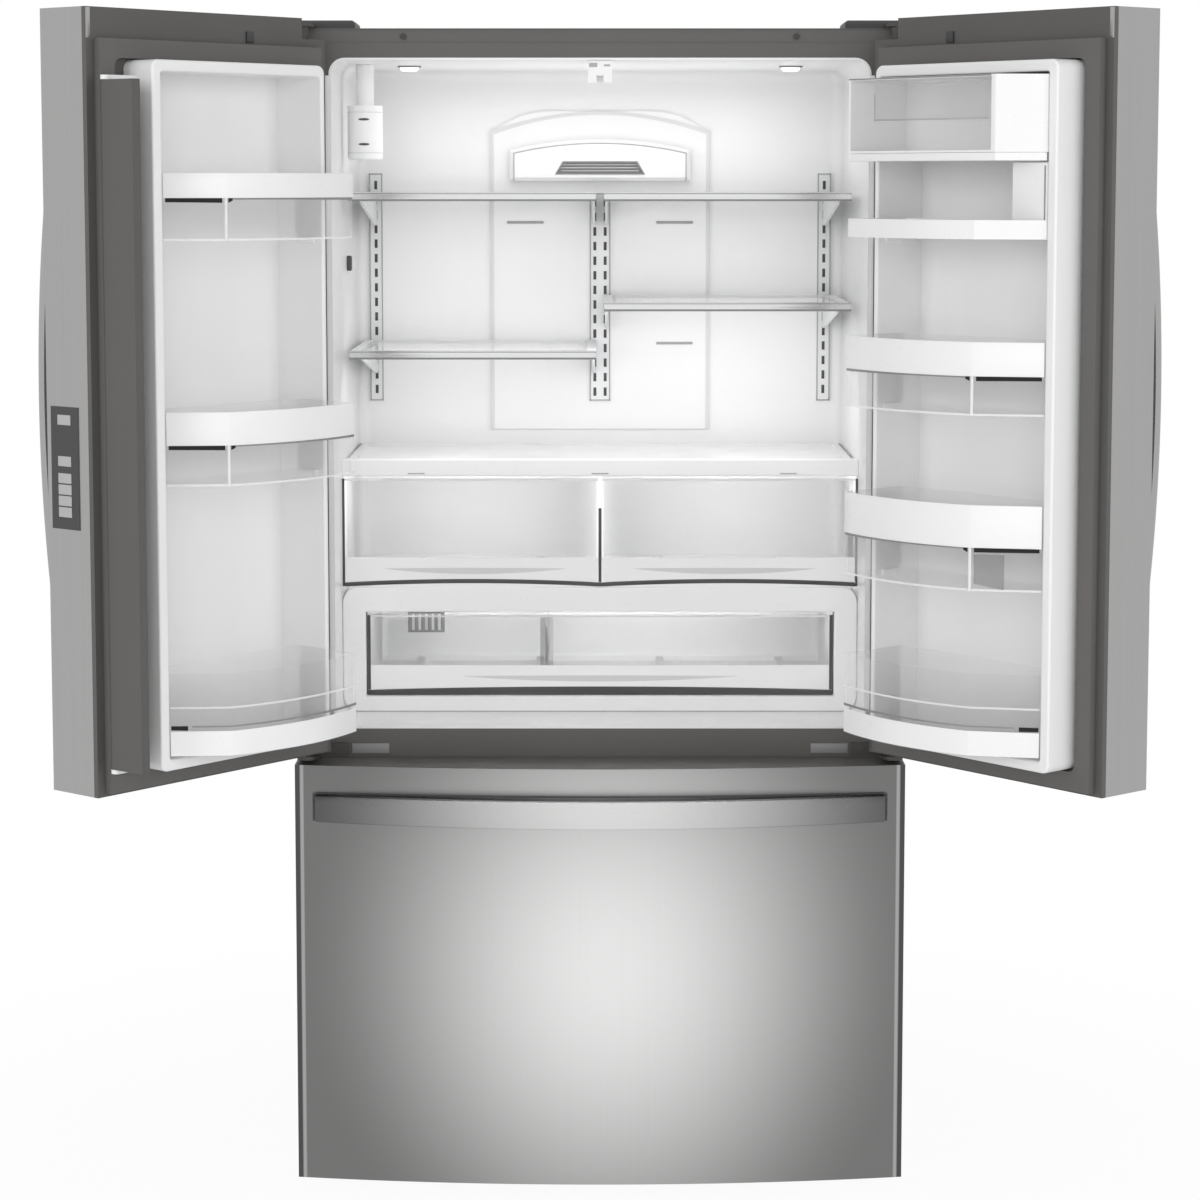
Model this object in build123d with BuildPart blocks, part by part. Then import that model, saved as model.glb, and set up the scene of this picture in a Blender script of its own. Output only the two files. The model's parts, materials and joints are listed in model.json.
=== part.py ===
"""French door refrigerator with a bottom freezer drawer, standing with both doors swung open.

+Z is up, +X is the viewer's right and the front looks along -Y.  The origin lies on the floor, in the
middle of the open appliance.  Depths are counted from the front of the case, into the cabinet.
"""
import os
from math import cos, radians, sin, sqrt

from build123d import *

# Overall sizes
overall_w = 908.0
case_inset = 3.0
case_depth = 616.0
case_top = 1743.0
case_bottom = 22.0
sheet_t = 1.2
liner_t = 3.0
face_t = 12.0
fit_gap = 0.3
foam_gap = 0.1
cut_over = 1.0
front_reach = 446.5
case_front_y = (front_reach - case_depth) / 2

# Curved fronts: one arc runs across both doors and the drawer
edge_t = 58.0
crown = 36.0
door_gap = 6.0
door_rise = 10.0
door_sill = 27.0
flange_t = 8.0
gasket_gap = 12.0
gasket_seat = 0.2
gasket_t = gasket_gap - gasket_seat
gasket_w = 26.0
gasket_hinge_inset = 18.0
gasket_free_inset = 14.0
gasket_top_inset = 42.0
gasket_bottom_inset = 5.0

# Door hinges
door_open = 130.0
pin_inset = 16.0
pin_depth = 35.0
pin_r = 6.0
pin_play = 0.25
pin_reach = 26.0
pin_end_gap = 1.0
notch_w = 46.0
notch_h = 30.0
bracket_t = 5.0
bracket_w = 36.0
hinge_plate_t = 6.0
hinge_plate_drop = 13.0

# Door liners and the folding mullion
dike_w = 16.0
hinge_dike_w = 8.0
dike_case_gap = 2.0
dike_p = 58.0
pocket_p = 36.0
dike_round = 3.5
dike_side_gap = 2.0
left_liner_free = 66.0
right_liner_free = 48.0
liner_corner_r = 12.0
pocket_corner_r = 4.0
mullion_w = 68.0
mullion_t = 14.0
mullion_inset = 17.0
mullion_guide_gap = 9.0
mullion_pin_r = 3.0
lug_t = 6.0
lug_lift = 2.0
mullion_pin_reach = 12.0

# Door bins: clear tubs hung between the dikes
bin_wall = 3.0
bin_reach = 138.0
bin_bow = 20.0
bin_side_gap = 0.4
bin_front_inset = 141.0
bin_back_p = 2.0
bin_lug_reach = 5.0
bin_lug_h = 12.0
bin_lug_p = 14.0
bin_lug_l = 30.0
left_upper_bin_h = 92.0
left_upper_station = 0.7492
left_middle_bin_h = 102.0
left_middle_station = 0.4053
right_upper_bin_h = 101.0
right_upper_station = 0.5046
right_middle_bin_h = 119.0
right_middle_station = 0.2569
lower_bin_h = 115.0
shelf_bin_h = 26.0
shelf_bin_station = 0.7513
shelf_bin_end_w = 62.0
shelf_bin_end_gap = 14.0
dairy_h = 105.0
dairy_round = 5.0
dairy_reach = 118.0
dairy_slant = 40.0
dairy_window_w = 272.0
lid_t = 4.0

# Door handles and the edge control panel
handle_rise = 99.0
handle_drop = 93.0
handle_round = 4.0
handle_end_t = 8.0
handle_bow = 58.0
handle_t = 14.0
handle_w = 30.0
handle_inset = 32.0
handle_foot = 46.0
panel_w = 59.0
panel_rise = 369.0
panel_h = 169.0
panel_t = 1.4
panel_inset = 27.0

# Fresh food compartment
side_wall = 53.0
divider_h = 82.0
top_wall = 46.0
fresh_back_wall = 116.0
fresh_corner_r = 24.0
shelf_front = 138.0
track_t = 6.0
track_inset = 29.0
track_rise = 71.0
track_drop = 166.0
track_w = 22.0
tower_half_w = 180.0
tower_drop = 66.0
tower_t = 6.0
tower_foot = 24.0
tower_shoulder = 40.0
tower_rise = 10.0
outlet_half_w = 148.0
outlet_drop = 110.0
outlet_h = 68.0
outlet_t = 22.0
light_inset = 101.0
light_r = 15.0
light_t = 8.0
light_round = 6.0
light_depth = 250.0
guide_w = 36.0
guide_depth = 42.0
guide_h = 33.0
guide_front = 8.0
filter_inset = 36.0
filter_depth = 190.0
filter_r = 27.0
filter_h = 83.0
filter_drop = 63.0

# Shelves: cantilever frames with glass panes
shelf_gap = 12.0
shelf_side_gap = 13.0
frame_h = 10.0
frame_bar = 20.0
glass_t = 4.0
glass_lap = 6.0
arm_t = 4.0
arm_h = 44.0
arm_nose = 6.0
arm_setback = 60.0
shelf_back_gap = 4.0
top_shelf_station = 0.9171
left_shelf_station = 0.2701
right_shelf_station = 0.4679

# Crispers and the wide pantry drawer
crisper_lift = 7.0
crisper_h = 161.0
crisper_wall = 3.0
crisper_gap = 6.0
crisper_side_gap = 4.0
crisper_back_gap = 30.0
cover_gap = 4.0
cover_h = 20.0
cover_round = 3.0
cover_lip = 14.0
cover_overhang = 6.0
drawer_bow = 6.0
pan_lip = 10.0
runner_w = 12.0
runner_stations = (-0.75, -0.25, 0.25, 0.75)
housing_h = 194.0
housing_round = 2.5
housing_front = 128.0
housing_back_gap = 20.0
pantry_side = 38.0
pantry_lift = 33.0
pantry_h = 117.0
pantry_top_gap = 6.0
pantry_wall = 3.0
pantry_divider_x = -83.0

# Freezer compartment and its drawer
freezer_side_wall = 53.0
freezer_floor = 95.0
freezer_h = 523.0
freezer_step_depth = 300.0
step_wall = 30.0
freezer_back_wall = 176.0
drawer_gap = 18.0
drawer_lift = 3.0
freezer_handle_inset = 30.0
freezer_handle_h = 41.0
freezer_handle_drop = 42.0
freezer_handle_bow = 26.0
freezer_handle_t = 12.0
freezer_handle_foot = 34.0
rail_t = 9.0
rail_h = 45.0
rail_rise = 28.0
rail_front = 5.0
rail_back_gap = 15.0
slide_t = 10.0
slide_h = 31.0
bin_rim = 4.0
freezer_bin_lift = 11.0
freezer_bin_back_gap = 16.0
freezer_bin_side = 36.0
basket_h = 150.0
basket_back_gap = 20.0
basket_wall = 3.0

# Cooling machinery and the base
machine_wall = 30.0
machine_top = 270.0
base_z = 50.0
base_t = 4.0
evaporator_side = 118.0
evaporator_rise = 25.0
evaporator_drop = 113.0
evaporator_wall = 93.0
fan_hub_r = 14.0
evaporator_fan_r = 44.0
evaporator_fan_drop = 58.0
evaporator_fan_setback = 55.0
condenser_fan_r = 66.0
condenser_fan_gap = 64.0
condenser_fan_rise = 86.0
fan_shaft_r = 3.0
fan_bore_play = 0.2
fan_hub_t = 18.0
motor_r = 20.0
motor_gap = 2.0
blade_t = 2.0
blade_pitch = 35.0
blade_count = 5
blade_root = 2.0
evaporator_blade_w = 22.0
condenser_blade_w = 26.0
machine_setback = 130.0
compressor_inset = 221.0
compressor_r = 82.0
compressor_h = 168.0
condenser_inset = 71.0
condenser_w = 250.0
condenser_lift = 8.0
condenser_h = 143.0
condenser_half_t = 60.0
roller_r = 21.0
roller_w = 24.0
roller_inset = 66.0
roller_back = 60.0
axle_r = 4.0
leg_inset = 53.0
leg_depth = 70.0
leg_foot_r = 20.0
leg_foot_h = 9.0
leg_stud_r = 6.0
grille_bottom = 8.0
grille_t = 12.0
rear_panel_t = 2.0

# Sizes that follow: the case, its two compartments and the machine space
case_w = overall_w - 2 * case_inset
wrap_half = case_w / 2 - sheet_t
rear_y = case_depth - rear_panel_t
fresh_half_w = case_w / 2 - side_wall
freezer_half_w = case_w / 2 - freezer_side_wall
liner_half = fresh_half_w + liner_t
freezer_ceiling = freezer_floor + freezer_h
freezer_depth = case_depth - freezer_back_wall
freezer_step_z = machine_top + step_wall
fresh_floor = freezer_ceiling + divider_h
fresh_ceiling = case_top - top_wall
fresh_depth = case_depth - fresh_back_wall
divider_bottom = freezer_ceiling + liner_t
divider_top = fresh_floor - liner_t
machine_depth = freezer_step_depth + machine_wall
machine_mid = machine_depth + machine_setback

# Doors and the drawer front
door_w = (overall_w - door_gap) / 2
door_top = case_top + door_rise
door_bottom = fresh_floor - door_sill
drawer_top = door_bottom - drawer_gap
drawer_bottom = case_bottom + drawer_lift
hinge_plate_z = door_bottom - hinge_plate_drop
crown_radius = (overall_w**2 / 4 + crown**2) / (2 * crown)
centre_t = edge_t + crown
open_cos = cos(radians(door_open))
open_sin = sin(radians(door_open))
pin_y = case_front_y - gasket_gap - pin_depth
pin_x = overall_w / 2 - pin_inset
gasket_top = door_top - gasket_top_inset
gasket_bottom = door_bottom + gasket_bottom_inset
door_liner_top = gasket_top - gasket_w - dike_side_gap
door_liner_bottom = gasket_bottom + gasket_w + dike_side_gap
door_liner_h = door_liner_top - door_liner_bottom
door_liner_hinge = case_inset + side_wall + dike_case_gap
handle_bottom = door_bottom + handle_rise
handle_top = door_top - handle_drop
panel_bottom = door_bottom + panel_rise
panel_top = panel_bottom + panel_h

# Door bins, each at its share of the liner's height
bin_hinge = door_liner_hinge + hinge_dike_w + bin_side_gap
bin_front_end = door_w - bin_front_inset
left_bins = {
    "left_upper_bin": (door_liner_bottom + left_upper_station * door_liner_h, left_upper_bin_h),
    "left_middle_bin": (door_liner_bottom + left_middle_station * door_liner_h, left_middle_bin_h),
}
right_bins = {
    "right_upper_bin": (door_liner_bottom + right_upper_station * door_liner_h, right_upper_bin_h),
    "right_middle_bin": (door_liner_bottom + right_middle_station * door_liner_h, right_middle_bin_h),
}
lower_bin_bottom = door_liner_bottom + dike_w + pocket_corner_r
dairy_top = door_liner_top - dike_w - pocket_corner_r
dairy_bottom = dairy_top - dairy_h
shelf_bin_bottom = door_liner_bottom + shelf_bin_station * door_liner_h
shelf_bin_top = shelf_bin_bottom + shelf_bin_h
shelf_bin_end_top = dairy_bottom - shelf_bin_end_gap

# Fresh food space: drawers stacked from its floor, the rest hung from its ceiling
housing_top = fresh_floor + housing_h
housing_back = fresh_depth - housing_back_gap
crisper_bottom = housing_top + crisper_lift
crisper_top = crisper_bottom + crisper_h
crisper_half_w = fresh_half_w - crisper_side_gap
crisper_back = fresh_depth - crisper_back_gap
pantry_half_w = fresh_half_w - pantry_side
pantry_bottom = fresh_floor + pantry_lift
pantry_top = pantry_bottom + pantry_h
pantry_opening_top = pantry_top + pantry_top_gap
cover_bottom = crisper_top + cover_gap
cover_top = cover_bottom + cover_h
track_x = fresh_half_w - track_inset
track_bottom = cover_top + track_rise
track_top = fresh_ceiling - track_drop
shelf_side = fresh_half_w - shelf_side_gap
top_shelf_z = track_bottom + top_shelf_station * (track_top - track_bottom)
left_shelf_z = track_bottom + left_shelf_station * (track_top - track_bottom)
right_shelf_z = track_bottom + right_shelf_station * (track_top - track_bottom)
tower_top = fresh_ceiling - tower_drop
tower_bottom = cover_top + tower_foot
outlet_top = fresh_ceiling - outlet_drop
outlet_bottom = outlet_top - outlet_h
light_x = fresh_half_w - light_inset
guide_bottom = fresh_ceiling - guide_h
filter_x = fresh_half_w - filter_inset
filter_top = fresh_ceiling - filter_drop
filter_bottom = filter_top - filter_h
mullion_bottom = door_liner_bottom + lug_lift + lug_t + fit_gap
mullion_top = guide_bottom - mullion_guide_gap

# Freezer drawer, cooling machinery and feet
freezer_handle_half_w = overall_w / 2 - freezer_handle_inset
freezer_handle_top = drawer_top - freezer_handle_drop
freezer_handle_bottom = freezer_handle_top - freezer_handle_h
rail_z = freezer_step_z + rail_rise
rail_length = freezer_depth - rail_front - rail_back_gap
freezer_bin_bottom = freezer_floor + freezer_bin_lift
freezer_bin_back = freezer_step_depth - freezer_bin_back_gap
freezer_bin_half_w = freezer_half_w - freezer_bin_side
basket_back = freezer_depth - basket_back_gap
evaporator_half_w = freezer_half_w - evaporator_side
evaporator_bottom = freezer_step_z + evaporator_rise
evaporator_top = freezer_ceiling - evaporator_drop
evaporator_back = case_depth - evaporator_wall
evaporator_fan_z = freezer_ceiling - evaporator_fan_drop
evaporator_fan_depth = evaporator_back - evaporator_fan_setback
condenser_left = condenser_inset - case_w / 2
condenser_right = condenser_left + condenser_w
condenser_bottom = base_z + base_t + condenser_lift
condenser_top = condenser_bottom + condenser_h
condenser_fan_x = condenser_right + condenser_fan_gap
condenser_fan_z = base_z + condenser_fan_rise
compressor_x = case_w / 2 - compressor_inset
roller_x = case_w / 2 - roller_inset
roller_depth = case_depth - roller_back
leg_x = case_w / 2 - leg_inset

os.makedirs("parts", exist_ok=True)


def save(piece, name):
    """Label a finished piece and write it to its own file."""
    piece.part.label = name
    export_step(piece.part, f"parts/{name}.step")


def block(x_range, depth_range, z_range, mode=Mode.ADD):
    """Add or cut a block given by its ranges across, into the cabinet and upwards."""
    with Locations((x_range[0], case_front_y + depth_range[0], z_range[0])):
        Box(
            x_range[1] - x_range[0],
            depth_range[1] - depth_range[0],
            z_range[1] - z_range[0],
            align=(Align.MIN, Align.MIN, Align.MIN),
            mode=mode,
        )


def front_plane(depth):
    """The upright plane at a depth, seen from the front: sketch x across, sketch y upwards."""
    return Plane(origin=(0, case_front_y + depth, 0), x_dir=(1, 0, 0), z_dir=(0, -1, 0))


def side_plane(x):
    """The upright plane at x, seen from the right: sketch x into the cabinet, sketch y upwards."""
    return Plane(origin=(x, case_front_y, 0), x_dir=(0, 1, 0), z_dir=(1, 0, 0))


def floor_plane(z):
    """The level plane at a height: sketch x across, sketch y into the cabinet from the case front."""
    return Plane(origin=(0, case_front_y, z), x_dir=(1, 0, 0), z_dir=(0, 0, 1))


def front_thickness(x):
    """Thickness of the curved front at a distance x from the appliance's middle."""
    return centre_t - (crown_radius - sqrt(crown_radius**2 - x**2))


class Door:
    """One swung-open door: s runs from its hinge edge, p inwards from its inner face."""

    def __init__(self, side, liner_free):
        self.side = side
        self.inward = -side
        self.liner_free = door_w - liner_free

    def plane(self, z):
        """Level plane through the hinge pin, turned with the open door."""
        return Plane(
            origin=(self.side * pin_x, pin_y, z),
            x_dir=(-self.side * open_cos, -open_sin, 0),
            z_dir=(0, 0, 1),
        )

    def at(self, s, p):
        """Sketch point on the door's level plane."""
        return (s - pin_inset, self.inward * (pin_depth + p))

    def thickness(self, s):
        """Thickness of the door at a distance s from its hinge edge."""
        return front_thickness(overall_w / 2 - s)

    def upright(self, s, p):
        """Upright plane square to the door at s: sketch x outwards from p, sketch y upwards."""
        level = self.plane(0)
        origin = level.from_local_coords(Vector(*self.at(s, p), 0))
        outward = level.y_dir * -self.inward
        return Plane(origin=origin, x_dir=outward, z_dir=outward.cross(Vector(0, 0, 1)))

    def facing(self, p):
        """Upright plane along the door at p: sketch x towards the free edge, sketch y upwards."""
        level = self.plane(0)
        origin = level.from_local_coords(Vector(*self.at(0, p), 0))
        along = level.x_dir
        return Plane(origin=origin, x_dir=along, z_dir=along.cross(Vector(0, 0, 1)))

    def inner(self):
        """Direction from the door's inner face towards the food side."""
        return self.plane(0).y_dir * self.inward

    def inwards(self):
        """Sign that turns an extrusion of a facing sketch towards the food side."""
        return 1 if self.facing(0).z_dir.dot(self.inner()) > 0 else -1

    def outline(self, inset, start_p):
        """Closed level outline of the door's body, drawn in by inset, open to start_p inside."""
        hinge, free = inset, door_w - inset
        middle = (hinge + free) / 2
        with BuildLine() as line:
            Polyline(
                self.at(hinge, -self.thickness(hinge) + inset),
                self.at(hinge, start_p),
                self.at(free, start_p),
                self.at(free, -self.thickness(free) + inset),
            )
            ThreePointArc(
                self.at(free, -self.thickness(free) + inset),
                self.at(middle, -self.thickness(middle) + inset),
                self.at(hinge, -self.thickness(hinge) + inset),
            )
        return line.line

    def notch(self):
        """Cut the hinge corner of the door's top away for the hinge arm."""
        with BuildSketch(self.plane(door_top - notch_h)) as corner:
            with BuildLine():
                Polyline(
                    self.at(-cut_over, cut_over),
                    self.at(notch_w, cut_over),
                    self.at(notch_w, -centre_t),
                    self.at(-cut_over, -centre_t),
                    close=True,
                )
            make_face()
        extrude(corner.sketch, amount=notch_h + cut_over, mode=Mode.SUBTRACT)


left = Door(-1, left_liner_free)
right = Door(1, right_liner_free)


def door_skin(door, name):
    """Steel front with its two returned edges."""
    with BuildPart() as skin:
        with BuildSketch(door.plane(door_bottom)):
            make_face(door.outline(0, -flange_t))
            make_face(door.outline(sheet_t, -flange_t + cut_over), mode=Mode.SUBTRACT)
        extrude(amount=door_top - door_bottom)
        door.notch()
    save(skin, name)


def door_frame(door, name):
    """Inner frame with end caps: the flange that carries the gasket, and the body inside the skin."""
    with BuildPart() as frame:
        with BuildSketch(door.plane(door_bottom)):
            make_face(door.outline(sheet_t, -flange_t))
            with BuildLine():
                Polyline(
                    door.at(0, 0),
                    door.at(door_w, 0),
                    door.at(door_w, -flange_t),
                    door.at(0, -flange_t),
                    close=True,
                )
            make_face()
        extrude(amount=door_top - door_bottom)
        door.notch()
        with BuildSketch(door.facing(-pocket_p)):
            liner_outline(door, 0, 0, liner_corner_r)
        extrude(amount=door.inwards() * (pocket_p + cut_over), mode=Mode.SUBTRACT)
        for z in (door_bottom, door_top - notch_h - pin_reach):
            with BuildSketch(door.plane(z)):
                with Locations(door.at(pin_inset, -pin_depth)):
                    Circle(pin_r + pin_play)
            extrude(amount=pin_reach, mode=Mode.SUBTRACT)
    save(frame, name)


def liner_outline(door, hinge_inset, inset, corner_r):
    """Rounded outline of the door liner on a facing plane, drawn in at the hinge and on the other sides."""
    hinge = door_liner_hinge + hinge_inset
    free = door.liner_free - inset
    bottom = door_liner_bottom + inset
    top = door_liner_top - inset
    with Locations(((hinge + free) / 2, (bottom + top) / 2)):
        RectangleRounded(free - hinge, top - bottom, corner_r)


def door_liner(door, name, seats, lugs):
    """White moulded tray: a floor let into the door, a round-topped dike and a flange at the hinge."""
    with BuildPart() as liner:
        with BuildSketch(door.facing(-pocket_p)):
            liner_outline(door, 0, 0, liner_corner_r)
        extrude(amount=door.inwards() * (pocket_p + dike_p))
        with BuildSketch(door.facing(-pocket_p + liner_t)):
            liner_outline(door, hinge_dike_w, dike_w, pocket_corner_r)
        extrude(amount=door.inwards() * (pocket_p + dike_p), mode=Mode.SUBTRACT)
        flange_start = gasket_hinge_inset + gasket_w + dike_side_gap
        flange_end = door_liner_hinge + hinge_dike_w / 2
        with BuildSketch(door.facing(0)):
            with Locations(((flange_start + flange_end) / 2, (door_liner_bottom + door_liner_top) / 2)):
                Rectangle(flange_end - flange_start, door_liner_top - door_liner_bottom - 2 * liner_corner_r)
        extrude(amount=door.inwards() * liner_t)
        crest = liner.faces().sort_by(Axis((0, 0, 0), door.inner()))[-1]
        fillet(crest.edges(), radius=dike_round)
        for bottom in seats:
            bin_lugs(door, bottom - fit_gap)
        if lugs:
            mullion_lugs(door)
    save(liner, name)


def bin_lugs(door, seat):
    """A pair of wedge lugs, one on each dike, that carry a bin."""
    hinge = door_liner_hinge + hinge_dike_w
    free = door.liner_free - dike_w
    for root, way in ((hinge, 1), (free, -1)):
        with BuildSketch(door.facing(bin_lug_p)) as lug:
            with BuildLine():
                Polyline(
                    (root - way * cut_over, seat),
                    (root + way * bin_lug_reach, seat),
                    (root + way * bin_lug_reach, seat - bin_lug_h / 2),
                    (root - way * cut_over, seat - bin_lug_h),
                    close=True,
                )
            make_face()
        extrude(lug.sketch, amount=door.inwards() * bin_lug_l)


def mullion_pivot(door):
    """Level sketch point of the mullion's pivot, near the door's free edge."""
    return door.at(door_w - mullion_inset, gasket_t + fit_gap + mullion_t / 2)


def mullion_lugs(door):
    """Lugs with pins, above and below the mullion, that reach out from the dike."""
    near, far = gasket_t + fit_gap, gasket_t + fit_gap + mullion_t
    lower = (mullion_bottom - fit_gap - lug_t, 0)
    upper = (mullion_top + fit_gap, -mullion_pin_reach)
    for lug_z, pin_z in (lower, upper):
        with BuildSketch(door.plane(lug_z)) as lug:
            with BuildLine():
                Polyline(
                    door.at(door.liner_free - dike_w / 2, near),
                    door.at(door_w - mullion_inset, near),
                    door.at(door_w - mullion_inset, far),
                    door.at(door.liner_free - dike_w / 2, far),
                    close=True,
                )
            make_face()
            with Locations(mullion_pivot(door)):
                Circle(mullion_t / 2)
        extrude(lug.sketch, amount=lug_t)
        with BuildSketch(door.plane(lug_z + pin_z)) as pin:
            with Locations(mullion_pivot(door)):
                Circle(mullion_pin_r)
        extrude(pin.sketch, amount=lug_t + mullion_pin_reach)


def door_gasket(door, name):
    """Magnetic gasket: a closed ring on the flange."""
    with BuildPart() as gasket:
        with BuildSketch(door.facing(0)):
            width = door_w - gasket_hinge_inset - gasket_free_inset
            height = gasket_top - gasket_bottom
            middle = (gasket_hinge_inset + width / 2, gasket_bottom + height / 2)
            with Locations(middle):
                Rectangle(width, height)
                RectangleRounded(
                    width - 2 * gasket_w, height - 2 * gasket_w, liner_corner_r, mode=Mode.SUBTRACT
                )
        extrude(amount=door.inwards() * gasket_t)
    save(gasket, name)


def door_handle(door, name):
    """Long bowed bar on the front, near the free edge, with broad feet."""
    s = door_w - handle_inset - handle_w
    middle = (handle_bottom + handle_top) / 2
    face = door.upright(s, -door.thickness(s + handle_w) - fit_gap)
    along = 1 if face.z_dir.dot(door.plane(0).x_dir) > 0 else -1
    with BuildPart() as handle:
        with BuildSketch(face):
            with BuildLine():
                ThreePointArc(
                    (handle_end_t, handle_bottom),
                    (handle_bow, middle),
                    (handle_end_t, handle_top),
                )
                Polyline((handle_end_t, handle_top), (0, handle_top), (0, handle_top - handle_foot))
                ThreePointArc(
                    (0, handle_top - handle_foot),
                    (handle_bow - handle_t, middle),
                    (0, handle_bottom + handle_foot),
                )
                Polyline((0, handle_bottom + handle_foot), (0, handle_bottom), (handle_end_t, handle_bottom))
            make_face()
        extrude(amount=along * handle_w)
        bow = handle.edges().filter_by(GeomType.CIRCLE).sort_by(SortBy.LENGTH)[-2:]
        fillet(bow, radius=handle_round)
    save(handle, name)


def bin_outline(door, reach, bow, front_free):
    """Closed level outline of a door bin: slanted from the free end to front_free, and bowed in front."""
    free = door.liner_free - dike_w - bin_side_gap
    middle = (bin_hinge + front_free) / 2
    with BuildLine() as line:
        Polyline(
            door.at(bin_hinge, reach - bow),
            door.at(bin_hinge, bin_back_p),
            door.at(free, bin_back_p),
            door.at(free, dike_p),
            door.at(front_free, reach - bow),
        )
        if bow:
            ThreePointArc(
                door.at(front_free, reach - bow),
                door.at(middle, reach),
                door.at(bin_hinge, reach - bow),
            )
        else:
            Line(door.at(front_free, reach), door.at(bin_hinge, reach))
    return line.line


def door_bin(door, name, bottom, height):
    """Clear tub, open at the top."""
    with BuildPart() as tub:
        with BuildSketch(door.plane(bottom)):
            make_face(bin_outline(door, bin_reach, bin_bow, bin_front_end))
        extrude(amount=height)
        with BuildSketch(door.plane(bottom + bin_wall)):
            make_face(bin_outline(door, bin_reach, bin_bow, bin_front_end))
            offset(amount=-bin_wall, mode=Mode.REPLACE)
        extrude(amount=height, mode=Mode.SUBTRACT)
    save(tub, name)


left_seats = [lower_bin_bottom, *(bottom for bottom, _ in left_bins.values())]
right_seats = [lower_bin_bottom, *(bottom for bottom, _ in right_bins.values())]
right_seats += [shelf_bin_bottom, dairy_bottom]
for door, word, seats, lugs in ((left, "left", left_seats, True), (right, "right", right_seats, False)):
    door_skin(door, f"{word}_door_skin")
    door_frame(door, f"{word}_door_frame")
    door_liner(door, f"{word}_door_liner", seats, lugs)
    door_gasket(door, f"{word}_gasket")
    door_handle(door, f"{word}_handle")
    door_bin(door, f"{word}_lower_bin", lower_bin_bottom, lower_bin_h)
for door, bins in ((left, left_bins), (right, right_bins)):
    for name, (bottom, height) in bins.items():
        door_bin(door, name, bottom, height)

# Shallow shelf bin with a tall closed end
with BuildPart() as shelf_bin:
    with BuildSketch(right.plane(shelf_bin_bottom)):
        make_face(bin_outline(right, bin_reach, bin_bow, bin_front_end))
    extrude(amount=shelf_bin_top - shelf_bin_bottom)
    with BuildSketch(right.plane(shelf_bin_bottom + bin_wall)):
        make_face(bin_outline(right, bin_reach, bin_bow, bin_front_end))
        offset(amount=-bin_wall, mode=Mode.REPLACE)
    extrude(amount=shelf_bin_top - shelf_bin_bottom, mode=Mode.SUBTRACT)
    end = right.liner_free - dike_w - bin_side_gap
    with BuildSketch(right.plane(shelf_bin_bottom)):
        with BuildLine():
            Polyline(
                right.at(end - shelf_bin_end_w, bin_back_p),
                right.at(end, bin_back_p),
                right.at(end, dike_p),
                right.at(end - shelf_bin_end_w, dike_p),
                close=True,
            )
        make_face()
    extrude(amount=shelf_bin_end_top - shelf_bin_bottom)
save(shelf_bin, "right_shelf_bin")

# Dairy box: a hood with a window near the hinge, and its lid
dairy_window_end = bin_hinge + dairy_window_w
dairy_front_end = right.liner_free - dike_w - bin_side_gap - dairy_slant
lid_s = (bin_hinge + bin_wall + fit_gap, dairy_window_end - fit_gap)
lid_pivot_p = dairy_reach - lid_t / 2
lid_pivot_z = dairy_top - bin_wall - lid_t
with BuildPart() as dairy_box:
    with BuildSketch(right.plane(dairy_bottom)):
        make_face(bin_outline(right, dairy_reach, 0, dairy_front_end))
    extrude(amount=dairy_top - dairy_bottom)
    with BuildSketch(right.plane(dairy_bottom + bin_wall)):
        with BuildLine():
            Polyline(
                right.at(bin_hinge + bin_wall, bin_back_p + bin_wall),
                right.at(dairy_window_end, bin_back_p + bin_wall),
                right.at(dairy_window_end, dairy_reach + cut_over),
                right.at(bin_hinge + bin_wall, dairy_reach + cut_over),
                close=True,
            )
        make_face()
    extrude(amount=dairy_top - dairy_bottom - 2 * bin_wall, mode=Mode.SUBTRACT)
    fillet(dairy_box.edges().filter_by(Axis.Z).sort_by(Axis.Y)[0], radius=dairy_round)
save(dairy_box, "dairy_box")

with BuildPart() as dairy_lid:
    with BuildSketch(right.upright(lid_s[0], lid_pivot_p)) as lid_side:
        with Locations((0, lid_pivot_z)):
            Circle(lid_t / 2)
        with BuildLine():
            Polyline(
                (-lid_t / 2, lid_pivot_z),
                (-lid_t / 2, dairy_bottom + bin_wall + fit_gap),
                (lid_t / 2, dairy_bottom + bin_wall + fit_gap),
                (lid_t / 2, lid_pivot_z),
                close=True,
            )
        make_face()
    lid_along = 1 if lid_side.workplanes[0].z_dir.dot(right.plane(0).x_dir) > 0 else -1
    extrude(amount=lid_along * (lid_s[1] - lid_s[0]))
save(dairy_lid, "dairy_lid")

# Control panel on the left door's free edge
with BuildPart() as control_panel:
    with BuildSketch(left.plane(panel_bottom)):
        with BuildLine():
            Polyline(
                left.at(door_w, -panel_inset),
                left.at(door_w + panel_t, -panel_inset - panel_t),
                left.at(door_w + panel_t, -panel_inset - panel_w + panel_t),
                left.at(door_w, -panel_inset - panel_w),
                close=True,
            )
        make_face()
    extrude(amount=panel_top - panel_bottom)
save(control_panel, "control_panel")

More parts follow.
